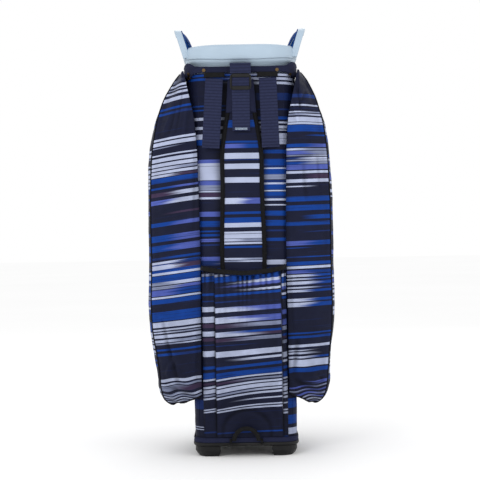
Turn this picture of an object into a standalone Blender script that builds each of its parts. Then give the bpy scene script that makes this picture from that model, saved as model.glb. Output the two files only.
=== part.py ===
"""A standing cart golf bag, in metres with +Z up.

A moulded fourteen-way collar with two lift handles tops a sewn trunk on a moulded base. The shoulder
strap side faces -Y and the zipped pockets face +Y. The origin is on the floor under the middle of the
bag's box, so the trunk's own axis lies a little behind it.
"""

import math

import bpy
import bmesh
from mathutils import Matrix, Vector

# ---- driving dimensions --------------------------------------------------------------------------
GAP = 0.0003                  # between pieces that touch
AXIS_Y = -0.0495              # the trunk's axis, behind the origin
HANDLE_TOP_Z = 0.930
RIM_Z = 0.884                 # top of the collar ring

TRUNK_BOTTOM_Z = 0.028
TRUNK_TOP_Z = 0.824
TRUNK_HALF_X = (0.111, 0.120)  # at the bottom, at the top
TRUNK_HALF_Y = 0.106
TRUNK_CORNER = (0.035, 0.055)
TRUNK_WALL = 0.004
BACK_Y = AXIS_Y - TRUNK_HALF_Y
FRONT_Y = AXIS_Y + TRUNK_HALF_Y

FOOT_HEIGHT = 0.022
TRAY_FLANGE = 0.005
TRAY_TOP_Z = 0.045
BINDING_Z = (0.0240, 0.0352)
BINDING_WALL = 0.0018
HANDLE_PIVOT = (0.0360, BACK_Y - 0.0150)  # height and depth of the low grab handle's axis
FOOT_INNER = (0.056, 0.050)    # from the axis to a foot's inner sides, along X and Y
FOOT_OUTER = (0.110, 0.105)

COLLAR_HALF = (0.1245, 0.1175)
COLLAR_CORNER = 0.085
COLLAR_WALL = 0.010
SEAM_BACK_Z = 0.8505           # where the ring meets the lip, at the middle of the back
SEAM_SIDE_Z = 0.8590
LIP_BOTTOM_Z = 0.806
LIP_WALL = 0.0025
LIP_HALF = (0.1075, 0.0995)
LIP_CORNER = 0.055
CUFF_HALF = (0.1235, 0.1095)
CUFF_WALL = 0.0028
CUFF_Z = (0.8245, 0.8360)

HANDLE_SPAN = 0.074            # half, along Y, at the ring
HANDLE_GAP_SPAN = 0.058
HANDLE_LEAN = 0.30             # outward travel for each unit of height
HANDLE_THICKNESS = 0.015
HANDLE_BAR = 0.014             # depth of the grab bar at its crown
HANDLE_TOE_IN = (0.025, 0.19)  # the back leg and the front leg, for each unit from the middle

GRID_Z = (0.812, 0.872)
GRID_FRAME = 0.003
GRID_WALL = 0.004
SHEET_WALL = 0.0024
SHEET_HALF = (0.0965, 0.0955)
STAY_X = 0.1015
STAY_RADIUS = 0.003
SLOTS_IN_ROW = (4, 3, 4, 3)    # from the back row to the front row: fourteen slots

STRAP_PAD_DEPTH = 0.012
WEBBING_HALF = 0.019           # 38 mm webbing
WEBBING_DEPTH = 0.0025
STRAP_WEBBING_Y = BACK_Y - 0.0195
POCKET_SHEET = 0.002

CORNER_STEPS = 8
ROUND = 16                     # sides of a small round piece


# ---- materials -----------------------------------------------------------------------------------
def make_material(name, colour, roughness, metallic=0.0):
    material = bpy.data.materials.new(name)
    material.use_nodes = True
    shader = material.node_tree.nodes["Principled BSDF"]
    shader.inputs["Base Color"].default_value = (*colour, 1.0)
    shader.inputs["Roughness"].default_value = roughness
    shader.inputs["Metallic"].default_value = metallic
    material.diffuse_color = (*colour, 1.0)
    return material


def make_materials():
    return {
        "print": make_material("printed_fabric", (0.030, 0.060, 0.180), 0.55),
        "navy": make_material("navy_webbing", (0.028, 0.032, 0.075), 0.80),
        "black_web": make_material("black_webbing", (0.012, 0.012, 0.012), 0.85),
        "collar": make_material("collar_plastic", (0.500, 0.640, 0.760), 0.45),
        "grip": make_material("grip_rubber", (0.008, 0.045, 0.150), 0.60),
        "black": make_material("black_plastic", (0.015, 0.015, 0.015), 0.50),
        "cloth": make_material("divider_cloth", (0.040, 0.045, 0.060), 0.90),
        "rod": make_material("stay_rod", (0.350, 0.360, 0.370), 0.40),
        "brass": make_material("brass_rivet", (0.560, 0.420, 0.220), 0.30, 1.0),
        "steel": make_material("zip_metal", (0.420, 0.430, 0.450), 0.30, 1.0),
    }


# ---- mesh helpers --------------------------------------------------------------------------------
def finish_mesh(name, mesh_data, material, crease_degrees=35):
    """Makes the object, with its faces pointing out and its round stretches shaded smooth."""
    mesh = bpy.data.meshes.new(name)
    bmesh.ops.recalc_face_normals(mesh_data, faces=mesh_data.faces)
    mesh_data.to_mesh(mesh)
    mesh_data.free()
    mesh.shade_smooth()
    mesh.set_sharp_from_angle(angle=math.radians(crease_degrees))
    mesh.materials.append(material)
    obj = bpy.data.objects.new(name, mesh)
    bpy.context.scene.collection.objects.link(obj)
    return obj


def loft(name, rings, material, closed=False):
    """A solid through rings of equal length. A closed loft joins the last ring to the first, and an
    open one has a flat cap at each end."""
    shape = bmesh.new()
    made = [[shape.verts.new(point) for point in ring] for ring in rings]
    pairs = list(zip(made, made[1:]))
    if closed:
        pairs.append((made[-1], made[0]))
    for low, high in pairs:
        for i in range(len(low)):
            j = (i + 1) % len(low)
            shape.faces.new((low[i], low[j], high[j], high[i]))
    if not closed:
        shape.faces.new(made[0])
        shape.faces.new(made[-1])
    return finish_mesh(name, shape, material)


def prism(name, outline, low_z, high_z, material):
    return loft(name, [[(x, y, z) for x, y in outline] for z in (low_z, high_z)], material)


def box(name, low, high, material, bevel=0.0):
    """A box between two corners, with its edges bevelled where a bevel is given."""
    size = Vector(high) - Vector(low)
    middle = (Vector(high) + Vector(low)) / 2
    shape = bmesh.new()
    place = Matrix.Translation(middle) @ Matrix.Diagonal((*size, 1.0))
    bmesh.ops.create_cube(shape, size=1.0, matrix=place)
    if bevel:
        bmesh.ops.bevel(shape, geom=shape.edges[:], offset=bevel, segments=2, profile=0.5,
                        affect="EDGES")
    return finish_mesh(name, shape, material)


def cylinder(name, centre, radius, length, axis, material, sides=ROUND):
    shape = bmesh.new()
    turn = Vector((0, 0, 1)).rotation_difference(Vector(axis)).to_matrix().to_4x4()
    bmesh.ops.create_cone(shape, cap_ends=True, segments=sides, radius1=radius, radius2=radius,
                          depth=length, matrix=Matrix.Translation(centre) @ turn)
    return finish_mesh(name, shape, material)


def boolean(target, tool, operation):
    """Joins or cuts with a helper object, which isn't a part itself."""
    tool.hide_render = True
    tool.display_type = "WIRE"
    modifier = target.modifiers.new(operation.lower() + "_" + tool.name, "BOOLEAN")
    modifier.operation = operation
    modifier.solver = "EXACT"
    modifier.object = tool


def joined_boxes(name, corners, material, bevel=0.0):
    """One piece made of overlapping boxes, each given by its low and high corner."""
    body = box(name, *corners[0], material, bevel)
    for i, (low, high) in enumerate(corners[1:]):
        boolean(body, box(f"{name}_join_{i}", low, high, material, bevel), "UNION")
    return body


def set_origin(obj, pivot):
    """Moves the object's origin to its joint's axis and leaves its shape where it is."""
    obj.data.transform(Matrix.Translation(-Vector(pivot)))
    obj.location = pivot


def blend(table, at):
    """Reads a value from (position, value) pairs in rising order, easing between them."""
    if at <= table[0][0]:
        return table[0][1]
    for (a, low), (b, high) in zip(table, table[1:]):
        if at <= b:
            share = (at - a) / (b - a)
            return low + (high - low) * share
    return table[-1][1]


# ---- outlines ------------------------------------------------------------------------------------
def corner_arc(corner, first, last, half_x, half_y, radius, steps=CORNER_STEPS):
    """Points on one corner of a rounded rectangle around the axis. Corner 0 is front right, and they
    run anticlockwise. First and last are shares of the quarter turn."""
    centre_x = (half_x - radius) * (1 if corner in (0, 3) else -1)
    centre_y = (half_y - radius) * (1 if corner in (0, 1) else -1)
    points = []
    for i in range(steps + 1):
        angle = math.radians(90 * (corner + first + (last - first) * i / steps))
        points.append((centre_x + radius * math.cos(angle),
                       AXIS_Y + centre_y + radius * math.sin(angle)))
    return points


def rounded_outline(half_x, half_y, radius, steps=CORNER_STEPS):
    points = []
    for corner in range(4):
        points += corner_arc(corner, 0, 1, half_x, half_y, radius, steps)
    return points


def seam_z(x):
    """Height of the joint between the ring and the lip, which dips at the front and the back."""
    share = min(1.0, abs(x) / COLLAR_HALF[0])
    return SEAM_BACK_Z + (SEAM_SIDE_Z - SEAM_BACK_Z) * share ** 2


def trunk_section(z):
    """Half width and corner radius of the trunk's outside at a height."""
    share = (z - TRUNK_BOTTOM_Z) / (TRUNK_TOP_Z - TRUNK_BOTTOM_Z)
    half_x = TRUNK_HALF_X[0] + (TRUNK_HALF_X[1] - TRUNK_HALF_X[0]) * share
    corner = TRUNK_CORNER[0] + (TRUNK_CORNER[1] - TRUNK_CORNER[0]) * share
    return half_x, corner


# ---- base ----------------------------------------------------------------------------------------
def build_base(materials):
    """A moulded tray with a flange under the fabric, on four corner feet with gaps between them."""
    half_x, corner = trunk_section(TRUNK_BOTTOM_Z)
    flange_low = FOOT_HEIGHT + GAP
    flange_high = flange_low + TRAY_FLANGE
    plug_inset = TRUNK_WALL + 0.0006
    steps = []
    for inset, z in ((0.0035, flange_low), (0.0005, flange_low + 0.002), (0.0005, flange_high),
                     (plug_inset, flange_high), (plug_inset, TRAY_TOP_Z - 0.002),
                     (plug_inset + 0.002, TRAY_TOP_Z)):
        outline = rounded_outline(half_x - inset, TRUNK_HALF_Y - inset, corner - inset, 5)
        steps.append([(x, y, z) for x, y in outline])
    loft("base_tray", steps, materials["black"])
    for side, sign_x in (("left", -1), ("right", 1)):
        for end, sign_y in (("back", -1), ("front", 1)):
            build_foot(f"foot_{end}_{side}", sign_x, sign_y, materials["black"])


def build_foot(name, sign_x, sign_y, material):
    """A corner foot whose outer corner is round and whose sole is smaller than its top."""
    rings = []
    for inset, z in ((0.009, 0.0), (0.004, 0.005), (0.0, 0.012), (0.0, FOOT_HEIGHT)):
        outer_x, outer_y = FOOT_OUTER[0] - inset, FOOT_OUTER[1] - inset
        radius = 0.030 - inset / 2
        inner_x, inner_y = FOOT_INNER[0] + inset / 3, FOOT_INNER[1] + inset / 3
        outline = [(inner_x, outer_y), (inner_x, inner_y), (outer_x, inner_y)]
        for i in range(6):
            angle = math.radians(90 * i / 5)
            outline.append((outer_x - radius + radius * math.cos(angle),
                            outer_y - radius + radius * math.sin(angle)))
        rings.append([(sign_x * x, AXIS_Y + sign_y * y, z) for x, y in outline])
    loft(name, rings, material)


def build_binding(materials):
    """The tape bound round the trunk's foot, with two lugs at the back for the low grab handle."""
    rings = []
    for inset, level in ((0.0, 0), (0.0, 1), (BINDING_WALL, 1), (BINDING_WALL, 0)):
        out = GAP + BINDING_WALL - inset
        outline = rounded_outline(TRUNK_HALF_X[0] + 0.0001 + out, TRUNK_HALF_Y + out,
                                  TRUNK_CORNER[0] + out, 8)
        rings.append([(x, y, BINDING_Z[level]) for x, y in outline])
    band = loft("bottom_binding", rings, materials["navy"], closed=True)
    foot_z, middle_y = HANDLE_PIVOT
    for side, sign in (("left", -1), ("right", 1)):
        ends = sorted((sign * 0.0316, sign * 0.0350))
        lug = box(f"binding_lug_{side}", (ends[0], middle_y - 0.0035, BINDING_Z[0] + 0.001),
                  (ends[1], BACK_Y - GAP - 0.0005, foot_z + 0.0040), materials["navy"])
        boolean(band, lug, "UNION")


# ---- trunk ---------------------------------------------------------------------------------------
def build_trunk_panels(materials):
    """Four sewn panels, which meet at seams half way round each corner."""
    seam = 0.004
    for corner, name in enumerate(("front", "left", "back", "right")):
        following = (corner + 1) % 4
        rings = []
        for z in (TRUNK_BOTTOM_Z, TRUNK_TOP_Z):
            half_x, radius = trunk_section(z)
            walls = []
            for inset in (0.0, TRUNK_WALL):
                size = (half_x - inset, TRUNK_HALF_Y - inset, radius - inset)
                walls.append(corner_arc(corner, 0.5 + seam, 1, *size, steps=4)
                             + corner_arc(following, 0, 0.5 - seam, *size, steps=4))
            outline = walls[0] + walls[1][::-1]
            rings.append([(x, y, z) for x, y in outline])
        loft(f"trunk_{name}_panel", rings, materials["print"])


def build_stays(materials):
    """Two rods inside the side panels, which keep the collar off the base."""
    low, high = TRAY_TOP_Z + 0.002, LIP_BOTTOM_Z - 0.0005
    for side, sign in (("left", -1), ("right", 1)):
        cylinder(f"stay_rod_{side}", (sign * STAY_X, AXIS_Y, (low + high) / 2), STAY_RADIUS,
                 high - low, (0, 0, 1), materials["rod"], sides=10)


# ---- collar, lip and cuff ------------------------------------------------------------------------
def build_ring(material):
    """The collar ring, with a rounded rim and a slightly full outer face."""
    profile = ((0.0015, 0.0), (0.0, 0.35), (0.0, 0.75), (0.0015, 0.93), (0.004, 1.0),
               (0.007, 1.0), (0.0092, 0.93), (COLLAR_WALL, 0.75), (COLLAR_WALL, 0.0))
    rings = []
    for inset, share in profile:
        outline = rounded_outline(COLLAR_HALF[0] - inset, COLLAR_HALF[1] - inset,
                                  COLLAR_CORNER - inset, 9)
        rings.append([(x, y, seam_z(x) + GAP + (RIM_Z - seam_z(x) - GAP) * share)
                      for x, y in outline])
    return loft("top_collar", rings, material, closed=True)


def handle_arch(half_span, base_z, height, share):
    """A point (y from the axis, z) on a squarish arch, from its back foot at 0 to its front foot at 1."""
    y = -half_span * math.cos(math.pi * share)
    rise = max(0.0, 1 - abs(y / half_span) ** 3) ** (1 / 3)
    return y, base_z + height * rise


def handle_x(y, z):
    """Distance from the bag's middle plane to a handle's outer face."""
    toe_in = HANDLE_TOE_IN[0] * max(0.0, -y) + HANDLE_TOE_IN[1] * max(0.0, y)
    return 0.1245 + (z - SEAM_SIDE_Z) * HANDLE_LEAN - toe_in


def handle_rings(sign, outer, inner, near, far):
    """Sections along an arch. Outer and inner are its two edges, and near and far the distances of its
    two faces from the handle's outer face."""
    rings = []
    steps = 18
    for i in range(steps + 1):
        share = i / steps
        corners = []
        for arch, depth in ((outer, near), (outer, far), (inner, far), (inner, near)):
            y, z = handle_arch(*arch, share)
            corners.append((sign * (handle_x(y, z) - depth), AXIS_Y + y, z))
        rings.append(corners)
    return rings


def build_lift_handles(collar, materials):
    base_z = RIM_Z - 0.011
    outer = (HANDLE_SPAN, base_z, HANDLE_TOP_Z - base_z)
    inner = (HANDLE_GAP_SPAN, base_z, HANDLE_TOP_Z - HANDLE_BAR - base_z)
    grip_base = RIM_Z + 0.002
    grip_outer = (HANDLE_SPAN - 0.004, grip_base, HANDLE_TOP_Z - 0.003 - grip_base)
    grip_inner = (HANDLE_GAP_SPAN + 0.002, grip_base, HANDLE_TOP_Z - HANDLE_BAR + 0.002 - grip_base)
    for side, sign in (("left", -1), ("right", 1)):
        arch = loft(f"handle_arch_{side}", handle_rings(sign, outer, inner, 0.0, HANDLE_THICKNESS),
                    materials["collar"])
        boolean(collar, arch, "UNION")
        near, far = HANDLE_THICKNESS + GAP, HANDLE_THICKNESS + 0.003
        loft(f"handle_grip_{side}", handle_rings(sign, grip_outer, grip_inner, near, far),
             materials["grip"])


def build_lip(materials):
    """The throat under the ring: straight where it goes down into the trunk, flared above."""
    rings = []
    flare = ((LIP_HALF, LIP_CORNER, LIP_BOTTOM_Z), ((0.1085, 0.1005), 0.056, 0.836),
             ((0.1148, 0.1078), 0.075, None))
    for wall in (0.0, LIP_WALL):
        for (half_x, half_y), radius, z in flare if wall == 0.0 else flare[::-1]:
            outline = rounded_outline(half_x - wall, half_y - wall, radius - wall, 7)
            rings.append([(x, y, seam_z(x) if z is None else z) for x, y in outline])
    return loft("collar_lip", rings, materials["collar"], closed=True)


def corner_patch(x, y):
    """1 at the two back corners, where the cuff widens into riveted patches, and 0 away from them."""
    off = math.hypot(abs(x) - 0.116, (y - AXIS_Y) + 0.080)
    return max(0.0, 1 - (off / 0.024) ** 2)


def build_cuff(materials):
    """The fabric band that covers the joint of the trunk and the lip."""
    rings = []
    steps = 12
    for inset, level in ((0.0, 0), (0.0, 1), (CUFF_WALL, 1), (CUFF_WALL, 0)):
        outline = rounded_outline(CUFF_HALF[0] - inset, CUFF_HALF[1] - inset, 0.058 - inset, steps)
        ring = []
        for x, y in outline:
            patch = corner_patch(x, y)
            side_rise = 0.006 * min(1.0, abs(x) / CUFF_HALF[0]) ** 2
            z = CUFF_Z[0] - 0.010 * patch if level == 0 else CUFF_Z[1] + side_rise + 0.008 * patch
            ring.append((x, y, z))
        rings.append(ring)
    return loft("cuff_band", rings, materials["navy"], closed=True)


def cuff_point(corner, share, z):
    """A point on the cuff's outside and the direction straight out of it."""
    x, y = corner_arc(corner, share, share, *CUFF_HALF, 0.058, steps=1)[0]
    angle = math.radians(90 * (corner + share))
    return Vector((x, y, z)), Vector((math.cos(angle), math.sin(angle), 0))


def build_rivets(cuff, panels, materials):
    """Brass rivets at the cuff's back corners. Each shank goes through the cuff and the trunk panel."""
    places = (("left_outer", 2, 0.42, 0.8245), ("left_lower", 2, 0.42, 0.8160),
              ("left_inner", 2, 0.86, 0.8300), ("right_inner", 3, 0.14, 0.8290),
              ("right_outer", 3, 0.50, 0.8200))
    head_radius, head_height, shank_radius = 0.0038, 0.0018, 0.0016
    for name, corner, share, z in places:
        point, out = cuff_point(corner, share, z)
        shank_length = CUFF_WALL + TRUNK_WALL
        head = cylinder(f"rivet_{name}", point + out * (GAP + head_height / 2), head_radius,
                        head_height, out, materials["brass"], sides=12)
        shank = cylinder(f"rivet_shank_{name}", point - out * (shank_length / 2 - 0.001),
                         shank_radius, shank_length + 0.002, out, materials["brass"], sides=8)
        boolean(head, shank, "UNION")
        hole = cylinder(f"rivet_hole_{name}", point - out * 0.004, shank_radius + GAP, 0.020, out,
                        materials["brass"], sides=8)
        for target in (cuff, *panels):
            boolean(target, hole, "DIFFERENCE")


# ---- dividers ------------------------------------------------------------------------------------
def clip(polygon, axis, limit, keep_above):
    """The part of a convex polygon on one side of a line across X (axis 0) or Y (axis 1)."""
    kept = []
    for a, b in zip(polygon, polygon[1:] + polygon[:1]):
        inside_a = a[axis] >= limit if keep_above else a[axis] <= limit
        inside_b = b[axis] >= limit if keep_above else b[axis] <= limit
        if inside_a:
            kept.append(a)
        if inside_a != inside_b:
            share = (limit - a[axis]) / (b[axis] - a[axis])
            kept.append((a[0] + (b[0] - a[0]) * share, a[1] + (b[1] - a[1]) * share))
    return kept


def row_edges(half, count, wall):
    """Low and high edge of each cell across a width, with a wall between neighbours."""
    cell = (2 * half - wall * (count - 1)) / count
    starts = [-half + i * (cell + wall) for i in range(count)]
    return [(start, start + cell) for start in starts]


def build_divider_grid(materials):
    """The moulded top of the dividers: a rounded plug with fourteen club slots cut through it."""
    half_x = LIP_HALF[0] - LIP_WALL - GAP
    half_y = LIP_HALF[1] - LIP_WALL - GAP
    radius = LIP_CORNER - LIP_WALL - GAP
    plug = prism("divider_grid", rounded_outline(half_x, half_y, radius, 6), *GRID_Z,
                 materials["collar"])
    inside = rounded_outline(half_x - GRID_FRAME, half_y - GRID_FRAME, radius - GRID_FRAME, 6)
    rows = row_edges(half_y - GRID_FRAME, len(SLOTS_IN_ROW), GRID_WALL)
    for row, ((low_y, high_y), count) in enumerate(zip(rows, SLOTS_IN_ROW)):
        for i, (low_x, high_x) in enumerate(row_edges(half_x - GRID_FRAME, count, GRID_WALL)):
            cell = clip(clip(inside, 0, low_x, True), 0, high_x, False)
            cell = clip(clip(cell, 1, AXIS_Y + low_y, True), 1, AXIS_Y + high_y, False)
            hole = prism(f"slot_cutter_{row}_{i}", cell, GRID_Z[0] - 0.01, GRID_Z[1] + 0.01,
                         materials["collar"])
            boolean(plug, hole, "DIFFERENCE")


def build_divider_sheets(materials):
    """Full-length cloth walls in line with the grid: three across the bag, each with the fins of the
    row behind it, and the front one with the front row's fins too."""
    frame_x = LIP_HALF[0] - LIP_WALL - GAP - GRID_FRAME
    frame_y = LIP_HALF[1] - LIP_WALL - GAP - GRID_FRAME
    rows = row_edges(frame_y, len(SLOTS_IN_ROW), GRID_WALL)
    low_z, high_z = TRAY_TOP_Z + 0.0025, GRID_Z[0] - 0.0005
    half = SHEET_WALL / 2
    wall_y = [rows[i][1] + GRID_WALL / 2 for i in range(3)]
    fin_ends = [-SHEET_HALF[1], *wall_y, SHEET_HALF[1]]

    def fins(row, low_y, high_y):
        edges = row_edges(frame_x, SLOTS_IN_ROW[row], GRID_WALL)
        middles = [(a[1] + b[0]) / 2 for a, b in zip(edges, edges[1:])]
        return [((x - half, AXIS_Y + low_y, low_z), (x + half, AXIS_Y + high_y, high_z))
                for x in middles]

    for i, name in enumerate(("back", "middle", "front")):
        y = wall_y[i]
        pieces = [((-SHEET_HALF[0], AXIS_Y + y - half, low_z),
                   (SHEET_HALF[0], AXIS_Y + y + half, high_z))]
        behind = fin_ends[i] + (half + GAP if i else 0)
        pieces += fins(i, behind, y)
        if name == "front":
            pieces += fins(3, y, fin_ends[4])
        joined_boxes(f"divider_wall_{name}", pieces, materials["cloth"])


# ---- shoulder strap and webbing on the back ------------------------------------------------------
def flat_strip(name, stations, low_y, high_y, material, centre_x=0.0, edge=0.0):
    """A flat piece on the back. Stations are (z, half width) from the top down, and edge narrows its
    outer face for a softened rim."""
    rings = []
    for y, inset in ((high_y, 0.0), (low_y + edge, 0.0), (low_y, edge)):
        if edge == 0.0 and y == low_y + edge and rings and inset == 0.0 and len(rings) == 2:
            continue
        right = [(centre_x + half - inset, y, z) for z, half in stations]
        left = [(centre_x - half + inset, y, z) for z, half in stations[::-1]]
        rings.append(right + left)
    return loft(name, rings, material)


def build_shoulder_strap(materials):
    """The padded strap lies on the back panel, its lower end behind the elastic pocket. Its webbing
    hangs in front of it from a tab on the lip, through a sliding buckle."""
    pad = ((0.809, 0.028), (0.780, 0.030), (0.738, 0.0335), (0.705, 0.0395), (0.664, 0.0455),
           (0.575, 0.047), (0.400, 0.0495), (0.350, 0.046), (0.270, 0.034), (0.250, 0.022))
    flat_strip("strap_pad", pad, BACK_Y - GAP - STRAP_PAD_DEPTH, BACK_Y - GAP, materials["print"],
               edge=0.003)
    low_y = STRAP_WEBBING_Y - WEBBING_DEPTH
    box("strap_webbing", (-WEBBING_HALF, low_y, 0.697), (WEBBING_HALF, STRAP_WEBBING_Y, 0.8395),
        materials["navy"], bevel=0.0008)
    build_strap_slider(materials)
    build_anchor_tab(materials)


def build_strap_slider(materials):
    """A three-bar slide: the webbing passes behind the top and bottom bars and over the middle one."""
    front = STRAP_WEBBING_Y - WEBBING_DEPTH - GAP
    back = STRAP_WEBBING_Y + GAP
    outer, inner = 0.0225, WEBBING_HALF + 0.0005
    top, bottom = 0.8190, 0.7850
    pieces = [((inner, front - 0.003, bottom), (outer, back + 0.0028, top)),
              ((-outer, front - 0.003, top - 0.006), (outer, front, top)),
              ((-outer, front - 0.003, bottom), (outer, front, bottom + 0.006)),
              ((-outer, front - 0.003, bottom), (-inner, back + 0.0028, top)),
              ((-outer, back, 0.7995), (outer, back + 0.0028, 0.8045))]
    slider = joined_boxes("strap_slider", pieces, materials["black"])
    set_origin(slider, (0, STRAP_WEBBING_Y, (top + bottom) / 2))


def build_anchor_tab(materials):
    """Wide webbing from the lip, folded down over the cuff and over the top of the strap webbing."""
    front = STRAP_WEBBING_Y - WEBBING_DEPTH - GAP
    lip_y = AXIS_Y - 0.1047
    pieces = [((-0.023, front - 0.0020, 0.8200), (0.023, front, 0.8435)),
              ((-0.023, front - 0.0020, 0.8405), (0.023, lip_y, 0.8435))]
    joined_boxes("strap_anchor_tab", pieces, materials["navy"])


def build_web_straps(materials):
    """Two short webbing straps that hang free, each from a keeper under the cuff. Both lean a little
    away from the shoulder strap."""
    keeper_z = (0.8125, 0.8235)
    web_z = (0.8115, 0.6620)
    front, web_front = BACK_Y - 0.0190, BACK_Y - 0.0156
    for side, top_x, low_x in (("left", -0.0562, -0.0662), ("right", 0.0578, 0.0625)):
        spans = (((-0.0225, front), (0.0225, web_front - 0.0008)),
                 ((-0.0225, front), (-0.0196, BACK_Y - GAP)),
                 ((0.0196, front), (0.0225, BACK_Y - GAP)))
        pieces = [((top_x + low[0], low[1], keeper_z[0]), (top_x + high[0], high[1], keeper_z[1]))
                  for low, high in spans]
        joined_boxes(f"web_keeper_{side}", pieces, materials["black_web"])
        rings = []
        for x, z in zip((top_x, low_x), web_z):
            rings.append([(x - WEBBING_HALF, web_front, z), (x + WEBBING_HALF, web_front, z),
                          (x + WEBBING_HALF, web_front + 0.0028, z),
                          (x - WEBBING_HALF, web_front + 0.0028, z)])
        strap = loft(f"web_strap_{side}", rings, materials["navy"])
        set_origin(strap, (top_x, web_front + 0.0014, web_z[0] - 0.0017))


# ---- elastic back pocket and bottom grab handle --------------------------------------------------
REAR_POCKET_HALF = 0.0905
REAR_POCKET_DEPTH = ((0.042, 0.004), (0.074, 0.009), (0.110, 0.021), (0.200, 0.030), (0.400, 0.029))


def rear_pocket_path(z, depth, offset):
    """Points of the pocket sheet's plan at a height, from its left seam to its right one."""
    half = REAR_POCKET_HALF - offset
    front = BACK_Y - GAP - depth + offset
    back = BACK_Y - GAP
    shoulder = half - 0.010
    return [(-half, back, z), (-half, back - depth * 0.4 + offset * 0.5, z),
            (-shoulder, front, z), (-shoulder / 2, front - 0.0012 * depth / 0.03, z),
            (0.0, front - 0.0016 * depth / 0.03, z),
            (shoulder / 2, front - 0.0012 * depth / 0.03, z),
            (shoulder, front, z), (half, back - depth * 0.4 + offset * 0.5, z), (half, back, z)]


def with_mouth(outside, inside):
    """One ring from the sheet's two faces, raised towards the seams: the mouth sags in the middle."""
    ring = []
    for path in (outside, inside[::-1]):
        count = len(path)
        for i, (x, y, z) in enumerate(path):
            station = i if path is outside else count - 1 - i
            rise = 0.0115 * (abs(outside[station][0]) / REAR_POCKET_HALF) ** 1.6
            ring.append((x, y, z + rise))
    return ring


def build_rear_pocket(materials):
    """A cloth sheet sewn to the back panel at its sides and foot and open at the top, where an elastic
    band draws it in."""
    rings = []
    for z in (0.042, 0.074, 0.110, 0.200, 0.300):
        depth = blend(REAR_POCKET_DEPTH, z)
        rings.append(rear_pocket_path(z, depth, 0.0)
                     + rear_pocket_path(z, depth, POCKET_SHEET)[::-1])
    depth = blend(REAR_POCKET_DEPTH, 0.388)
    rings.append(with_mouth(rear_pocket_path(0.388, depth, 0.0),
                            rear_pocket_path(0.388, depth, POCKET_SHEET)))
    loft("rear_pocket", rings, materials["print"])
    rings = []
    for z in (0.3893, 0.4000):
        rings.append(with_mouth(rear_pocket_path(z, depth, 0.0),
                                rear_pocket_path(z, depth, 0.003)))
    loft("rear_pocket_elastic", rings, materials["black_web"])


def build_base_handle(materials):
    """A half-ring of wrapped webbing. It stands against the pocket and swings out about its ends."""
    radius, thickness, depth = 0.0262, 0.0050, 0.0075
    foot_z, middle_y = HANDLE_PIVOT
    rings = []
    steps = 14
    for i in range(steps + 1):
        angle = math.pi * i / steps
        ring = []
        for across, along in ((-1, -1), (-1, 1), (1, 1), (1, -1)):
            r = radius + across * thickness
            ring.append((-r * math.cos(angle), middle_y + along * depth / 2,
                         foot_z + r * math.sin(angle)))
        rings.append(ring)
    handle = loft("base_handle", rings, materials["black_web"])
    set_origin(handle, (0, middle_y, foot_z))


# ---- zipped pockets ------------------------------------------------------------------------------
# Height and the distance of the outer face from the middle of the bag. The left pocket is the fuller.
SIDE_POCKET_OUT = {
    "left": ((0.104, 0.170), (0.120, 0.186), (0.140, 0.192), (0.175, 0.195), (0.226, 0.2025),
             (0.250, 0.210), (0.580, 0.210), (0.668, 0.2035), (0.704, 0.1965), (0.730, 0.191),
             (0.749, 0.184), (0.774, 0.173), (0.792, 0.162), (0.802, 0.156), (0.812, 0.149)),
    "right": ((0.104, 0.163), (0.120, 0.177), (0.140, 0.185), (0.175, 0.1895), (0.226, 0.194),
              (0.250, 0.200), (0.580, 0.200), (0.668, 0.194), (0.704, 0.189), (0.730, 0.183),
              (0.749, 0.1765), (0.774, 0.168), (0.792, 0.159), (0.802, 0.154), (0.812, 0.148)),
}
# The pocket's plan at full size: share of the way out from the trunk, and distance from the axis.
SIDE_POCKET_PLAN = ((0.00, -0.1085), (0.30, -0.1080), (0.62, -0.0930), (0.93, -0.0640),
                    (1.00, -0.0400), (1.00, 0.0300), (0.93, 0.0780), (0.75, 0.1075),
                    (0.34, 0.1075), (0.16, 0.1075))
SIDE_SEAM_X = 0.0940


def side_pocket_ring(side, sign, z):
    half_x, _ = trunk_section(z)
    out = blend(SIDE_POCKET_OUT[side], z)
    pull = blend(((0.104, 0.86), (0.150, 1.0), (0.700, 1.0), (0.812, 0.80)), z)
    ring = []
    for share, along in SIDE_POCKET_PLAN:
        along = along * (pull if along > -0.1 and share > 0.5 else 1.0)
        ring.append((sign * (SIDE_SEAM_X + (out - SIDE_SEAM_X) * share), AXIS_Y + along, z))
    inner = half_x + GAP
    for along in (0.0850, 0.0300, -0.0300, -0.0700, -0.0860):
        ring.append((sign * inner, AXIS_Y + along, z))
    return ring


def build_side_pockets(materials):
    """Full-length clothing pockets that wrap the trunk's sides from the back seam to the front."""
    for side, sign in (("left", -1), ("right", 1)):
        rings = [side_pocket_ring(side, sign, z) for z, _ in SIDE_POCKET_OUT[side]]
        loft(f"side_pocket_{side}", rings, materials["print"])


FRONT_POCKETS = {
    # name: (low z, high z, half width, front y)
    "ball": (0.0560, 0.3980, 0.1000, 0.1800),
    "cooler": (0.4080, 0.5980, 0.0960, 0.1480),
    "valuables": (0.6080, 0.7440, 0.0900, 0.1120),
}


def build_front_pocket(name, low_z, high_z, half, front_y, material):
    """A full pouch: rounded in plan, with its top and bottom edges drawn in."""
    height = high_z - low_z
    back_y = FRONT_Y + GAP
    rings = []
    for share, draw in ((0.0, 0.022), (0.04, 0.008), (0.12, 0.0), (0.88, 0.0), (0.96, 0.008),
                        (1.0, 0.022)):
        z = low_z + height * share
        edge, depth = half - draw / 2, front_y - draw
        bend = 0.030
        rings.append([(edge, back_y, z), (edge, depth - bend, z), (edge - 0.009, depth - 0.009, z),
                      (edge - bend, depth, z), (-edge + bend, depth, z),
                      (-edge + 0.009, depth - 0.009, z), (-edge, depth - bend, z),
                      (-edge, back_y, z)])
    loft(f"{name}_pocket", rings, material)


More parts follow.
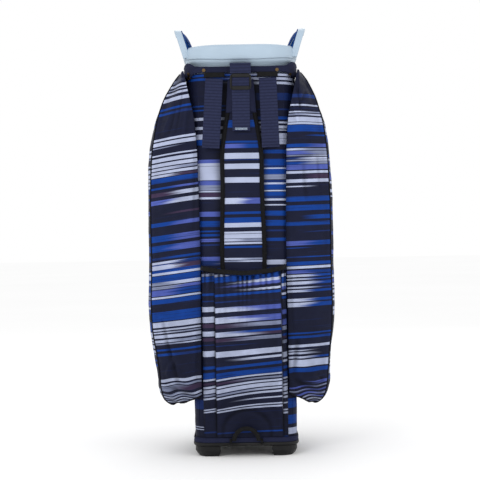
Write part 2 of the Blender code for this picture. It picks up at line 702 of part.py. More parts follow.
# ---- zips ----------------------------------------------------------------------------------------
ZIP_HALF = 0.0060              # half the width of the coil and its tape
ZIP_DEPTH = 0.0016
SLIDER_SIZE = (0.0120, 0.0085, 0.0032)  # along the zip, across it, out of it
PULL_LENGTH = 0.030


def place(frame, along, across, out):
    """A point from its distances along a zip, across it and out of it."""
    origin, ways = frame
    return origin + ways[0] * along + ways[1] * across + ways[2] * out


def framed_box(name, frame, low, high, material, bevel=0.0):
    corners = [place(frame, *low), place(frame, *high)]
    least = [min(a, b) for a, b in zip(*corners)]
    most = [max(a, b) for a, b in zip(*corners)]
    return box(name, least, most, material, bevel)


def build_zip(name, frame, length, hang, materials):
    """A straight zip from its closed end, at 0, to its open end. The slider stands at the closed end,
    and its pull hangs down from a pin in the slider's bail."""
    framed_box(f"zip_track_{name}", frame, (-0.010, -ZIP_HALF, GAP),
               (length + 0.010, ZIP_HALF, GAP + ZIP_DEPTH), materials["black"])
    base = 2 * GAP + ZIP_DEPTH
    half_along, half_across = SLIDER_SIZE[0] / 2, SLIDER_SIZE[1] / 2
    slider = framed_box(f"zip_slider_{name}", frame, (-half_along, -half_across, base),
                        (half_along, half_across, base + SLIDER_SIZE[2]), materials["steel"], 0.0008)
    set_origin(slider, place(frame, 0, 0, base))
    pivot = place(frame, 0, 0, base + SLIDER_SIZE[2] + 0.0022)
    out = frame[1][2]
    side = hang.cross(out)
    reach = (pivot - out * 0.0012 + side * 0.0030 - hang * 0.0015,
             pivot + out * 0.0014 - side * 0.0030 + hang * PULL_LENGTH)
    least = [min(a, b) for a, b in zip(*reach)]
    most = [max(a, b) for a, b in zip(*reach)]
    pull = box(f"zip_pull_{name}", least, most, materials["black"], 0.0006)
    set_origin(pull, pivot)


def build_zips(materials):
    down = Vector((0, 0, -1))
    for side, sign in (("left", -1), ("right", 1)):
        top = Vector((sign * 0.1540, AXIS_Y + 0.1075, 0.5650))
        ways = (down, Vector((sign, 0, 0)), Vector((0, 1, 0)))
        build_zip(f"side_{side}", (top, ways), 0.300, down, materials)
    for name, (_, high_z, half, front_y) in FRONT_POCKETS.items():
        start = Vector((half - 0.042, front_y, high_z - 0.0280))
        ways = (Vector((-1, 0, 0)), Vector((0, 0, 1)), Vector((0, 1, 0)))
        build_zip(name, (start, ways), 2 * (half - 0.042), down, materials)


# ---- front fittings ------------------------------------------------------------------------------
def build_front_handle(materials):
    """A padded grab handle across the front, above the pockets."""
    path = ((-0.058, 0.0006), (-0.054, 0.016), (-0.042, 0.027), (-0.020, 0.031), (0.020, 0.031),
            (0.042, 0.027), (0.054, 0.016), (0.058, 0.0006))
    inside = ((-0.051, 0.0006), (-0.047, 0.013), (-0.038, 0.020), (-0.018, 0.0235), (0.018, 0.0235),
              (0.038, 0.020), (0.047, 0.013), (0.051, 0.0006))
    middle_z, half = 0.7800, 0.012
    rings = []
    for (outer_x, outer_y), (inner_x, inner_y) in zip(path, inside):
        rings.append([(outer_x, FRONT_Y + outer_y, middle_z - half + 0.002),
                      (outer_x, FRONT_Y + outer_y, middle_z + half - 0.002),
                      (inner_x, FRONT_Y + inner_y, middle_z + half),
                      (inner_x, FRONT_Y + inner_y, middle_z - half)])
    loft("front_handle", rings, materials["navy"])


def build_towel_ring(materials):
    """A metal ring that hangs and swings in a sewn webbing tab."""
    centre = Vector((0.0790, FRONT_Y + 0.0060, 0.7830))
    ring_radius, wire = 0.0180, 0.0019
    rings = []
    steps, sides = 24, 8
    for i in range(steps):
        turn = 2 * math.pi * i / steps
        ring = []
        for k in range(sides):
            angle = 2 * math.pi * k / sides
            r = ring_radius + wire * math.cos(angle)
            ring.append(centre + Vector((r * math.cos(turn), wire * math.sin(angle),
                                         r * math.sin(turn))))
        rings.append(ring)
    ring = loft("towel_ring", rings, materials["steel"], closed=True)
    set_origin(ring, centre + Vector((0, 0, ring_radius)))
    build_ring_tab(centre + Vector((0, 0, ring_radius)), wire, materials["navy"])


def build_ring_tab(pivot, wire, material):
    """Webbing folded round the ring's wire, both ends sewn to the front panel above it."""
    clear, web = wire + 0.0009, 0.0012
    top_z = pivot.z + 0.016
    outer, inner = [], []
    for i in range(9):
        angle = math.radians(-90 + 180 * i / 8)
        outer.append((math.sin(angle) * (clear + web), -math.cos(angle) * (clear + web)))
        inner.append((math.sin(angle) * clear, -math.cos(angle) * clear))
    profile = [(-(clear + web), top_z - pivot.z)] + outer + [(clear + web, top_z - pivot.z)]
    profile += [(clear, top_z - pivot.z - web)] + inner[::-1] + [(-clear, top_z - pivot.z - web)]
    rings = []
    for x in (-0.0045, 0.0045):
        rings.append([(pivot.x + x, pivot.y + y, pivot.z + z) for y, z in profile])
    loft("towel_ring_tab", rings, material)


# ---- the whole bag -------------------------------------------------------------------------------
def main():
    for obj in list(bpy.data.objects):
        bpy.data.objects.remove(obj, do_unlink=True)
    materials = make_materials()
    build_base(materials)
    build_binding(materials)
    build_trunk_panels(materials)
    build_stays(materials)
    collar = build_ring(materials["collar"])
    build_lift_handles(collar, materials)
    build_lip(materials)
    cuff = build_cuff(materials)
    panels = [bpy.data.objects[f"trunk_{name}_panel"] for name in ("back", "left", "right")]
    build_rivets(cuff, panels, materials)
    build_divider_grid(materials)
    build_divider_sheets(materials)
    build_shoulder_strap(materials)
    build_web_straps(materials)
    build_rear_pocket(materials)
    build_base_handle(materials)
    build_side_pockets(materials)
    for name, size in FRONT_POCKETS.items():
        build_front_pocket(name, *size, materials["print"])
    build_zips(materials)
    build_front_handle(materials)
    build_towel_ring(materials)


main()
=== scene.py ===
"""The looks of a standing cart golf bag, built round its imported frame."""

import math

import bmesh
import bpy
import numpy as np
from mathutils import Matrix, Vector, noise


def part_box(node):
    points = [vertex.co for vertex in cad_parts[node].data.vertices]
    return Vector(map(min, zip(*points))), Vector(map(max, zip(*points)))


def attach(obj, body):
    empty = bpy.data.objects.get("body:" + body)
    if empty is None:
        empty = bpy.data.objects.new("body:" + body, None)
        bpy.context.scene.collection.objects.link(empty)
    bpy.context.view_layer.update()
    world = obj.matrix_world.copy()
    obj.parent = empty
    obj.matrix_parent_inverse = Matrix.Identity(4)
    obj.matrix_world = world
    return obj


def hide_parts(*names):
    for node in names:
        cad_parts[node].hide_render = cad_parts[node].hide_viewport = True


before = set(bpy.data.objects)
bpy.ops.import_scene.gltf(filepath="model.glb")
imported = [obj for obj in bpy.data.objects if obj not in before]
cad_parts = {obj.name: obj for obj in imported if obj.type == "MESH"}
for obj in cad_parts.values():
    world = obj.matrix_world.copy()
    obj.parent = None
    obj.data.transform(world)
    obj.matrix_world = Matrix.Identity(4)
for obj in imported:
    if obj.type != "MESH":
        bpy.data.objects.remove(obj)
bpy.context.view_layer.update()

# ---- sizes, in metres ----------------------------------------------------------------------------
BACK_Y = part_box("trunk_back_panel")[0].y          # outside of the flat back panel
FRONT_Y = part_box("trunk_front_panel")[1].y
AXIS_Y = (BACK_Y + FRONT_Y) / 2
RIM_Z = 0.884
HANDLE_TOP_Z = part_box("top_collar")[1].z
COLLAR_HALF = (0.1245, 0.1175)
SEAM_BACK_Z, SEAM_SIDE_Z = 0.8505, 0.8590         # the line between the ring and the lip under it
ARCH_BASE_Z = 0.873
TRUNK_Z = (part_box("trunk_back_panel")[0].z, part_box("trunk_back_panel")[1].z)
TRUNK_HALF_X = (0.111, 0.120)
TRUNK_HALF_Y = (FRONT_Y - BACK_Y) / 2
TRUNK_CORNER = (0.035, 0.055)
SEAM_X = 0.0935                                   # where a side pocket leaves the back panel
WEBBING_HALF = 0.019
SIDES = (("left", -1), ("right", 1))
STRAP_SIDE = (0, -1, 0)                           # the way the strap side faces
STRAP_WEB_Y = BACK_Y - 0.0207
SLIDE_BAR_Y = BACK_Y - 0.0174                     # the slide's middle bar, behind the webbing
KEEPER_Z = 0.818
BINDING_Z = 0.0360
LUG_X = 0.0333                                    # the low handle's loops, from the middle
SIDE_ZIP_X, SIDE_ZIP_TOP_Z, SIDE_ZIP_LENGTH = 0.154, 0.565, 0.300
POCKET_ZIP_DROP = 0.028                           # a front pocket's zip, below the pocket's top
POCKET_ZIP_INSET = 0.042
FRONT_HANDLE_Z = 0.780
RING_PIVOT = (0.0790, FRONT_Y + 0.0060, 0.8010)

# ---- camera: a level view of the strap side, rolled a little -------------------------------------
CAMERA_DISTANCE = 3.0
CAMERA_WIDTH = 1.068                              # what the frame spans at the bag's middle
CAMERA_ROLL = math.radians(0.94)
CAMERA_X, CAMERA_Z = -0.0067, 0.465
SENSOR_WIDTH = 36.0

# ---- colours of the print, linear ----------------------------------------------------------------
NAVY = (0.0088, 0.0108, 0.0290)
BLUE = (0.0045, 0.0430, 0.2500)
DEEP = (0.0090, 0.0250, 0.1200)
WHITE = (0.4000, 0.4450, 0.6100)
GREY = (0.2000, 0.2300, 0.3500)
VIOLET = (0.0700, 0.1000, 0.3700)
PLUM = (0.0420, 0.0270, 0.0620)
KEYS = {"N": NAVY, "B": BLUE, "D": DEEP, "W": WHITE, "G": GREY, "V": VIOLET, "P": PLUM}

# A band is its top and bottom, in millimetres above the floor, and its colours at left and right.
LEFT_POCKET_PRINT = (
    (807, 798, "GN"), (795, 790, "WW"), (786, 784, "GW"), (780, 775, "WW"), (769, 761, "WW"),
    (748, 743, "BB"), (739, 733, "BD"), (683, 678, "WW"), (675, 667, "WW"), (664, 662, "GN"),
    (648, 645, "WW"), (640, 632.5, "WW"), (629, 622, "WW"), (619.5, 614, "WG"), (611.5, 606, "WW"),
    (604.5, 599, "WP"), (597, 587, "BB"), (578, 573.5, "BV"), (567, 558, "PW"), (550.5, 541, "VW"),
    (522, 518, "NP"), (502, 493, "BV"), (474, 460, "BV"), (452, 439, "BV"), (427, 421.5, "DB"),
    (417.5, 412.5, "WB"), (411.5, 409.5, "BD"), (409.5, 400, "WP"), (400, 393.5, "BB"),
    (393.5, 388, "WW"), (387, 373, "BB"), (373, 366, "GW"), (364, 358, "GV"), (356.5, 343.5, "VB"),
    (341.5, 337.5, "WW"), (336, 326.5, "BB"), (309, 288.5, "BB"), (286, 275, "WW"),
    (271, 268, "WW"), (265, 262.5, "WG"), (259, 252, "WW"), (248, 242.5, "WG"), (240, 237.5, "GW"),
    (227.5, 223.5, "BB"), (218, 212.5, "BD"), (163, 157, "WW"), (153, 149, "WG"), (147, 137, "GP"),
    (131, 127, "GW"), (124, 120.5, "WG"), (117.5, 115, "GW"), (112, 109, "WG"),
)
RIGHT_POCKET_PRINT = (
    (777, 769, "DB"), (755, 751.5, "WW"), (740, 736.5, "WG"), (734.5, 731, "GW"), (727, 717, "WW"),
    (716, 711.5, "WW"), (710.5, 696, "BB"), (690, 686, "NB"), (670, 663, "BV"), (660.5, 656, "WG"),
    (655, 647, "VG"), (646, 643.5, "GW"), (641, 637, "DW"), (636, 633, "GW"), (631.5, 625, "BG"),
    (625, 614, "VV"), (611.5, 606, "WW"), (604.5, 595, "NP"), (594, 587, "WW"), (580, 577, "WN"),
    (557, 546.5, "BB"), (538, 527, "BB"), (517, 508.5, "NB"), (503, 495, "BB"), (482.5, 480, "ND"),
    (461, 451.5, "VB"), (447, 445.5, "BN"), (428, 425, "DB"), (416, 408, "BB"), (406.5, 401, "WW"),
    (398, 391.5, "VB"), (389, 383.5, "WB"), (381, 377, "WB"), (374, 367.5, "WB"), (363, 359, "WD"),
    (356.5, 351, "WB"), (337.5, 330.5, "WB"), (328.5, 319.5, "WB"), (264.5, 261.5, "BB"),
    (257.5, 252.5, "BB"), (238.5, 233, "WW"), (227.5, 225, "WN"), (222, 218, "WN"),
    (213.5, 209, "WB"), (206, 191, "WW"), (188.5, 179, "BB"), (159, 153, "NV"), (149, 146, "VG"),
    (141, 138, "GV"), (134, 130, "VG"), (126, 123, "WV"), (118, 115, "GW"), (111, 108, "VG"),
)
BACK_PRINT = (
    (821.5, 817, "BW"), (813.5, 808, "BW"), (804, 799, "NW"), (780, 764, "ND"), (754.5, 752, "BN"),
    (746.5, 743, "BD"), (729, 722.5, "WB"), (718, 714, "NW"), (709, 703, "WW"), (700.5, 698, "NW"),
    (693, 682, "WW"), (681, 669, "BW"), (658, 650, "NB"), (638, 630.5, "VB"), (630.5, 623, "WB"),
    (623, 619.5, "WD"), (619.5, 616.5, "WW"), (616.5, 605, "WB"), (605, 593.5, "WG"),
    (592.5, 587, "VD"), (587, 583.5, "VW"), (583, 572, "GB"), (571, 568, "WW"), (567, 558.5, "PB"),
    (557.5, 553.5, "WD"), (553, 548.5, "NW"), (540.5, 538, "NW"), (526.5, 516, "VB"),
    (506.5, 494.5, "BB"), (486, 483, "BD"), (478, 473, "BN"), (468, 462, "VB"), (456, 452, "DN"),
    (428.5, 421, "VN"), (420.5, 410, "DW"), (404, 398, "BD"), (122, 101, "DB"), (86, 67, "NB"),
    (64, 61.5, "WN"), (58.5, 56.5, "WW"), (56, 45, "NW"),
)
PAD_PRINT = (
    (721, 706, "BB"), (676.5, 672, "BB"), (670, 661.5, "VB"), (651, 638, "WW"),
    (637.5, 634.5, "DD"), (627.5, 616.5, "WW"), (598.5, 587, "WW"), (554.5, 542.5, "WV"),
    (525.5, 520.5, "BB"), (513, 501.5, "BB"), (501, 492, "WW"), (482.5, 478.5, "WW"),
    (477, 468, "WW"), (466.5, 462, "WG"), (459.5, 456, "WW"), (452, 448, "BB"),
    (426.5, 422.5, "WG"), (421, 418, "GW"), (396, 380, "BB"),
)
REAR_PRINT = (
    (392, 386.5, "GW"), (385.5, 374, "BB"), (374, 368, "NW"), (368, 361.5, "NV"), (356, 352, "NW"),
    (349.5, 344.5, "BB"), (334, 331, "DN"), (320.5, 310, "WV"), (299.5, 287, "WV"),
    (284, 275.5, "PG"), (268, 263, "WB"), (263, 257, "WP"), (254, 246.5, "PG"), (240, 238, "DN"),
    (226.5, 214.5, "WW"), (209, 204, "NW"), (194.5, 188, "BB"), (181, 168.5, "BB"),
    (168, 164, "WW"), (160, 156, "PG"), (152.5, 148, "WW"), (145.5, 137.5, "WW"), (135, 131, "GW"),
    (128, 124, "WW"), (116, 113, "NW"), (103, 100.2, "WW"), (97.8, 95, "WW"), (51.5, 48.5, "DB"),
)


# ---- materials -----------------------------------------------------------------------------------
BANDS_PER_RAMP = 15
CLOTH_GLOSS = 0.08                                # specular level of every cloth


class Nodes:
    """A short way to write a material's nodes."""

    def __init__(self, name):
        self.material = bpy.data.materials.new(name)
        self.material.use_nodes = True
        self.tree = self.material.node_tree
        self.shader = self.tree.nodes["Principled BSDF"]

    def add(self, kind, **values):
        node = self.tree.nodes.new(kind)
        for key, value in values.items():
            setattr(node, key, value)
        return node

    def link(self, out, into):
        self.tree.links.new(out, into)

    def put(self, socket, value):
        if isinstance(value, bpy.types.NodeSocket):
            self.link(value, socket)
        else:
            socket.default_value = value

    def math(self, operation, a, b=0.0, clamp=False):
        node = self.add("ShaderNodeMath", operation=operation, use_clamp=clamp)
        self.put(node.inputs[0], a)
        self.put(node.inputs[1], b)
        return node.outputs[0]

    def mix(self, factor, a, b, mode="MIX"):
        node = self.add("ShaderNodeMix", data_type="RGBA", blend_type=mode)
        self.put(node.inputs[0], factor)
        for socket, value in ((node.inputs[6], a), (node.inputs[7], b)):
            self.put(socket, value if isinstance(value, bpy.types.NodeSocket) else (*value, 1.0))
        return node.outputs[2]

    def remap(self, value, low, high, to_low=0.0, to_high=1.0, smooth=False):
        node = self.add("ShaderNodeMapRange")
        if smooth:
            node.interpolation_type = "SMOOTHSTEP"
        self.put(node.inputs[0], value)
        for i, number in enumerate((low, high, to_low, to_high)):
            self.put(node.inputs[i + 1], number)
        return node.outputs[0]

    def split(self, vector):
        node = self.add("ShaderNodeSeparateXYZ")
        self.link(vector, node.inputs[0])
        return node.outputs

    def join(self, x, y, z=0.0):
        node = self.add("ShaderNodeCombineXYZ")
        for socket, value in zip(node.inputs, (x, y, z)):
            self.put(socket, value)
        return node.outputs[0]

    def noise(self, vector, scale, detail=2.0, rough=0.5):
        node = self.add("ShaderNodeTexNoise")
        self.link(vector, node.inputs["Vector"])
        node.inputs["Scale"].default_value = scale
        node.inputs["Detail"].default_value = detail
        node.inputs["Roughness"].default_value = rough
        return node.outputs["Fac"]

    def wave(self, vector, scale, direction, distortion=0.0):
        node = self.add("ShaderNodeTexWave", wave_type="BANDS", bands_direction=direction)
        self.link(vector, node.inputs["Vector"])
        node.inputs["Scale"].default_value = scale
        node.inputs["Distortion"].default_value = distortion
        return node.outputs["Fac"]

    def uv(self):
        return self.add("ShaderNodeUVMap", uv_map="cloth").outputs[0]

    def place(self):
        return self.add("ShaderNodeTexCoord").outputs["Object"]

    def bump(self, height, distance, strength=1.0, normal=None):
        node = self.add("ShaderNodeBump")
        node.inputs["Strength"].default_value = strength
        node.inputs["Distance"].default_value = distance
        self.link(height, node.inputs["Height"])
        if normal is not None:
            self.link(normal, node.inputs["Normal"])
        return node.outputs[0]

    def finish(self, colour, roughness, normal=None, metallic=0.0, sheen=0.0, coat=0.0,
               specular=0.5):
        shader = self.shader
        self.put(shader.inputs["Base Color"], colour)
        self.put(shader.inputs["Roughness"], roughness)
        if normal is not None:
            self.link(normal, shader.inputs["Normal"])
        shader.inputs["Metallic"].default_value = metallic
        shader.inputs["Sheen Weight"].default_value = sheen
        shader.inputs["Sheen Roughness"].default_value = 0.4
        shader.inputs["Coat Weight"].default_value = coat
        shader.inputs["Specular IOR Level"].default_value = specular
        return self.material


def print_bands(nodes, height, bands, side):
    """The print's colours down a panel, as a chain of hard-edged colour ramps."""
    result = None
    for first in range(0, len(bands), BANDS_PER_RAMP):
        group = bands[first:first + BANDS_PER_RAMP]
        top, low = group[0][0] + 1.0, group[-1][1] - 1.0
        ramp = nodes.add("ShaderNodeValToRGB")
        ramp.color_ramp.interpolation = "CONSTANT"
        stops = [(low, NAVY)]
        for band_top, band_low, keys in reversed(group):
            stops.append((band_low, KEYS[keys[side]]))
            stops.append((band_top, NAVY))
        elements = ramp.color_ramp.elements
        elements.remove(elements[1])
        merged = {}
        for z, colour in stops:
            merged[round(z, 2)] = colour
        for i, (z, colour) in enumerate(sorted(merged.items())):
            position = (z - low) / (top - low)
            element = elements[0] if i == 0 else elements.new(position)
            element.position = position
            element.color = (*colour, 1.0)
        nodes.link(nodes.remap(height, low, top), ramp.inputs[0])
        if result is None:
            result = ramp.outputs[0]
        else:
            result = nodes.mix(nodes.math("LESS_THAN", height, top), result, ramp.outputs[0])
    return result


def fabric_bump(nodes, uv):
    """A fine plain weave, with soft crumples over it."""
    weave = nodes.math("MULTIPLY", nodes.wave(uv, 420.0, "X"), nodes.wave(uv, 420.0, "Y"))
    soft = nodes.noise(uv, 38.0, 3.0, 0.55)
    first = nodes.bump(weave, 0.00012, 0.5)
    return nodes.bump(soft, 0.0016, 0.5, first)


def print_material(name, bands, width, seed=0.0):
    """Printed polyester: hard-edged bands that break and fade along their length."""
    nodes = Nodes(name)
    uv = nodes.uv()
    u, v, _ = nodes.split(uv)
    millimetres = nodes.math("MULTIPLY", v, 1000.0)
    wobble = nodes.noise(nodes.join(nodes.math("MULTIPLY", u, 9.0), nodes.math("MULTIPLY", v, 9.0),
                                    seed), 1.0, 1.0)
    height = nodes.math("ADD", millimetres, nodes.remap(wobble, 0.0, 1.0, -1.2, 1.2))
    left = print_bands(nodes, height, bands, 0)
    right = print_bands(nodes, height, bands, 1)
    row = nodes.noise(nodes.join(seed + 3.0, nodes.math("MULTIPLY", v, 95.0)), 1.0, 2.0, 0.7)
    along = nodes.math("DIVIDE", u, width)
    start = nodes.remap(row, 0.25, 0.75, 0.20, 0.80)
    fade = nodes.remap(nodes.math("SUBTRACT", along, start), -0.22, 0.22, smooth=True)
    colour = nodes.mix(fade, left, right)
    streak_at = nodes.join(nodes.math("MULTIPLY", u, 5.0), nodes.math("MULTIPLY", v, 420.0), seed)
    streak = nodes.noise(streak_at, 1.0, 3.0, 0.6)
    dark = nodes.remap(streak, 0.56, 0.60, 0.0, 0.55, smooth=True)
    blueness = nodes.split(colour)[2]
    in_blue = nodes.math("MULTIPLY", nodes.remap(blueness, 0.08, 0.16),
                         nodes.remap(blueness, 0.36, 0.44, 1.0, 0.10))
    colour = nodes.mix(nodes.math("MULTIPLY", dark, in_blue), colour, NAVY)
    glint = nodes.math("MULTIPLY", nodes.remap(streak, 0.38, 0.34, 0.0, 0.55, smooth=True),
                       nodes.remap(blueness, 0.06, 0.02))
    colour = nodes.mix(glint, colour, DEEP)
    # Painted shade: the shade attribute darkens the cloth in creases, at seams and beside the
    # strap, and lightens fold crests. It multiplies the print's colour along with a random tone.
    painted_shade = nodes.add("ShaderNodeAttribute", attribute_name="shade").outputs["Fac"]
    tone_and_painted_shade = nodes.remap(nodes.noise(uv, 14.0, 2.0), 0.3, 0.7, 0.86, 1.08)
    tone_and_painted_shade = nodes.math("MULTIPLY", tone_and_painted_shade, painted_shade)
    # Painted shade: the cloth is darker towards the bottom of the bag.
    tone_and_painted_shade = nodes.math("MULTIPLY", tone_and_painted_shade, nodes.remap(v, 0.05, 0.45, 0.76, 1.0, smooth=True))
    colour = nodes.mix(1.0, colour, nodes.join(tone_and_painted_shade, tone_and_painted_shade, tone_and_painted_shade), "MULTIPLY")
    rough = nodes.remap(nodes.noise(uv, 60.0, 2.0), 0.3, 0.7, 0.46, 0.62)
    return nodes.finish(colour, rough, fabric_bump(nodes, uv), specular=CLOTH_GLOSS)


def plain_fabric(name, colour, light=1.25, rib=0.0, rib_scale=0.0, roughness=0.75):
    """Plain cloth or webbing. Ribs run across the piece where a pitch is given."""
    nodes = Nodes(name)
    uv = nodes.uv()
    pale = tuple(min(1.0, c * light) for c in colour)
    tone = nodes.noise(uv, 180.0, 3.0, 0.7)
    base = nodes.mix(nodes.remap(tone, 0.35, 0.65), colour, pale)
    if rib:
        ribs = nodes.wave(uv, rib_scale, "Y", 0.3)
        across = nodes.wave(uv, rib_scale * 1.4, "X", 0.2)
        dark = tuple(c * 0.62 for c in colour)
        bars = nodes.wave(uv, rib_scale * 0.4, "Y", 0.1)
        base = nodes.mix(nodes.remap(bars, 0.0, 0.5, 0.85, 0.0), base, dark)
        first = nodes.bump(ribs, rib, 0.8)
        normal = nodes.bump(across, rib * 0.4, 0.6, first)
    else:
        normal = fabric_bump(nodes, uv)
    return nodes.finish(base, roughness, normal, sheen=0.02, specular=CLOTH_GLOSS)


def solid_cloth(name, colour, roughness=0.8):
    """Cloth for the pieces that have no lengthwise map: a weave in all three directions."""
    nodes = Nodes(name)
    place = nodes.place()
    x = nodes.wave(place, 330.0, "DIAGONAL", 0.4)
    tone = nodes.noise(place, 90.0, 3.0, 0.6)
    base = nodes.mix(nodes.remap(tone, 0.3, 0.7), tuple(c * 0.75 for c in colour),
                     tuple(c * 1.3 for c in colour))
    return nodes.finish(base, roughness, nodes.bump(x, 0.0002, 0.6), sheen=0.02,
                        specular=CLOTH_GLOSS)


def moulded(name, colour, roughness=0.45, grain=0.00008, scale=900.0, coat=0.0, wear=0.06,
            specular=0.4):
    """Moulded plastic with a fine grain and faint flow marks, their contrast set by wear."""
    nodes = Nodes(name)
    place = nodes.place()
    fine = nodes.noise(place, scale, 2.0, 0.5)
    flow = nodes.noise(place, 11.0, 3.0, 0.55)
    tint = tuple(min(1.0, c * (1.0 + wear) + wear * 0.02) for c in colour)
    shade = tuple(c * (1.0 - wear) for c in colour)
    base = nodes.mix(nodes.remap(flow, 0.35, 0.65), shade, tint)
    rough = nodes.remap(nodes.noise(place, 45.0, 3.0, 0.6), 0.3, 0.7, roughness - 0.05,
                        roughness + 0.08)
    return nodes.finish(base, rough, nodes.bump(fine, grain, 0.6), coat=coat, specular=specular)


def metal(name, colour, roughness=0.25):
    nodes = Nodes(name)
    place = nodes.place()
    brushed = nodes.noise(place, 400.0, 2.0, 0.6)
    patina = nodes.remap(nodes.noise(place, 70.0, 3.0), 0.4, 0.7, 0.75, 1.05)
    base = nodes.mix(1.0, colour, nodes.join(patina, patina, patina), "MULTIPLY")
    rough = nodes.remap(brushed, 0.3, 0.7, roughness - 0.05, roughness + 0.10)
    return nodes.finish(base, rough, nodes.bump(brushed, 0.00004, 0.4), metallic=1.0)


MATERIALS = {
    "left_pocket": print_material("print_left_pocket", LEFT_POCKET_PRINT, 0.105, 1.0),
    "right_pocket": print_material("print_right_pocket", RIGHT_POCKET_PRINT, 0.100, 2.0),
    "back": print_material("print_back", BACK_PRINT, 0.187, 3.0),
    "pad": print_material("print_strap_pad", PAD_PRINT, 0.077, 4.0),
    "rear": print_material("print_rear_pocket", REAR_PRINT, 0.187, 5.0),
    "webbing": plain_fabric("navy_webbing", (0.0200, 0.0240, 0.0580), 1.25, 0.00035, 120.0),
    "navy": plain_fabric("navy_cloth", (0.0130, 0.0155, 0.0400), 1.15, roughness=0.65),
    "black_web": plain_fabric("black_webbing", (0.0085, 0.0085, 0.0090), 1.5, 0.0002, 300.0),
    "black_cloth": plain_fabric("black_binding", (0.0080, 0.0080, 0.0090), 1.4, 0.00012, 420.0),
    "thread": solid_cloth("thread", (0.0200, 0.0230, 0.0520), 0.6),
    "pale_thread": solid_cloth("pale_thread", (0.5200, 0.6200, 0.7600), 0.6),
    "collar": moulded("collar_plastic", (0.3850, 0.4850, 0.5850), 0.42, coat=0.05, wear=0.03,
                       specular=0.4),
    "grip": moulded("grip_lining", (0.0030, 0.0400, 0.1900), 0.62, 0.0001, 700.0, specular=0.06),
    "black": moulded("black_plastic", (0.0080, 0.0080, 0.0085), 0.48, 0.0001, 600.0, wear=0.25,
                      specular=0.2),
    "lining": solid_cloth("divider_cloth", (0.0350, 0.0400, 0.0560)),
    "rod": moulded("stay_rod", (0.3200, 0.3300, 0.3400), 0.35),
    "brass": metal("brass", (0.1500, 0.1000, 0.0480), 0.42),
    "steel": metal("plated_zinc", (0.4600, 0.4700, 0.5000), 0.22),
    "rubber": moulded("pull_rubber", (0.0130, 0.0130, 0.0140), 0.55, 0.00012, 500.0, wear=0.2,
                       specular=0.2),
}


# ---- mesh helpers --------------------------------------------------------------------------------
def place_in_scene(name, data):
    obj = bpy.data.objects.new(name, data)
    bpy.context.scene.collection.objects.link(obj)
    return obj


def build(name, verts, faces, uvs, materials, face_slots=None, sharp=None, shade=None):
    """A mesh object from points and faces. uvs holds one pair for each point, and shade how light
    the cloth is there, from its folds."""
    mesh = bpy.data.meshes.new(name)
    mesh.from_pydata([tuple(p) for p in verts], [], [tuple(f) for f in faces])
    for key in materials:
        mesh.materials.append(MATERIALS[key])
    set_uvs(mesh, uvs)
    if face_slots is not None:
        mesh.polygons.foreach_set("material_index", np.asarray(face_slots, np.int32))
    mesh.shade_smooth()
    shape = bmesh.new()
    shape.from_mesh(mesh)
    bmesh.ops.recalc_face_normals(shape, faces=shape.faces)
    shape.to_mesh(mesh)
    shape.free()
    if sharp is not None:
        mesh.set_sharp_from_angle(angle=math.radians(sharp))
    set_shade(mesh, shade)
    return place_in_scene(name, mesh)


def set_uvs(mesh, uvs):
    layer = mesh.uv_layers.get("cloth") or mesh.uv_layers.new(name="cloth")
    index = np.empty(len(mesh.loops), np.int32)
    mesh.loops.foreach_get("vertex_index", index)
    layer.data.foreach_set("uv", np.asarray(uvs, np.float32)[index].ravel())


def read_points(mesh):
    places = np.empty(len(mesh.vertices) * 3, np.float32)
    mesh.vertices.foreach_get("co", places)
    return places.reshape(-1, 3)


def set_shade(mesh, shade=None):
    values = np.ones(len(mesh.vertices), np.float32) if shade is None else np.asarray(shade).ravel()
    layer = mesh.attributes.get("shade") or mesh.attributes.new("shade", "FLOAT", "POINT")
    layer.data.foreach_set("value", values.astype(np.float32))


def blurred(grid, rows, columns):
    """A grid of values, averaged over a window."""
    for axis, reach in ((0, rows), (1, columns)):
        kernel = np.hanning(2 * reach + 3)[1:-1]
        kernel /= kernel.sum()
        grid = np.apply_along_axis(
            lambda line: np.convolve(np.pad(line, reach, mode="edge"), kernel, "valid"), axis, grid)
    return grid


def cavity(relief, rows, columns, gain, low=0.45, high=1.12):
    """How light a folded cloth is: less in the creases and a little more on the crests."""
    return np.clip(1 + (relief - blurred(relief, rows, columns)) * gain, low, high)


def distance_along(path):
    """How far each point of a path is from its first, along it."""
    return np.concatenate([[0], np.cumsum(np.linalg.norm(np.diff(path, axis=0), axis=1))])


def grid_faces(rows, columns, closed=False, looped=False):
    """Quads of a grid of points. Closed joins the last column to the first, looped the last row."""
    faces = []
    for r in range(rows if looped else rows - 1):
        low, high = r * columns, (r + 1) % rows * columns
        for c in range(columns if closed else columns - 1):
            d = (c + 1) % columns
            faces.append((low + c, low + d, high + d, high + c))
    return faces


def end_caps(rows, columns):
    return [tuple(range(columns - 1, -1, -1)), tuple(range((rows - 1) * columns, rows * columns))]


def tube_grid(name, rings, uvs, materials, sharp=None, face_slots=None):
    """A closed skin through rings (rows, columns, 3), with its ends capped."""
    rows, columns = rings.shape[:2]
    faces = grid_faces(rows, columns, True)
    slots = list(face_slots) if face_slots is not None else [0] * len(faces)
    slots += [slots[0], slots[-1]]
    return build(name, rings.reshape(-1, 3), faces + end_caps(rows, columns),
                 np.asarray(uvs).reshape(-1, 2), materials, slots, sharp)


def band_grid(name, rings, materials, sharp=None):
    """A ring-shaped solid through loops of points that go all the way round."""
    run = distance_along(rings[0])
    uvs = np.array([np.column_stack([run, ring[:, 2]]) for ring in rings]).reshape(-1, 2)
    faces = grid_faces(*rings.shape[:2], True, True)
    return build(name, rings.reshape(-1, 3), faces, uvs, materials, None, sharp)


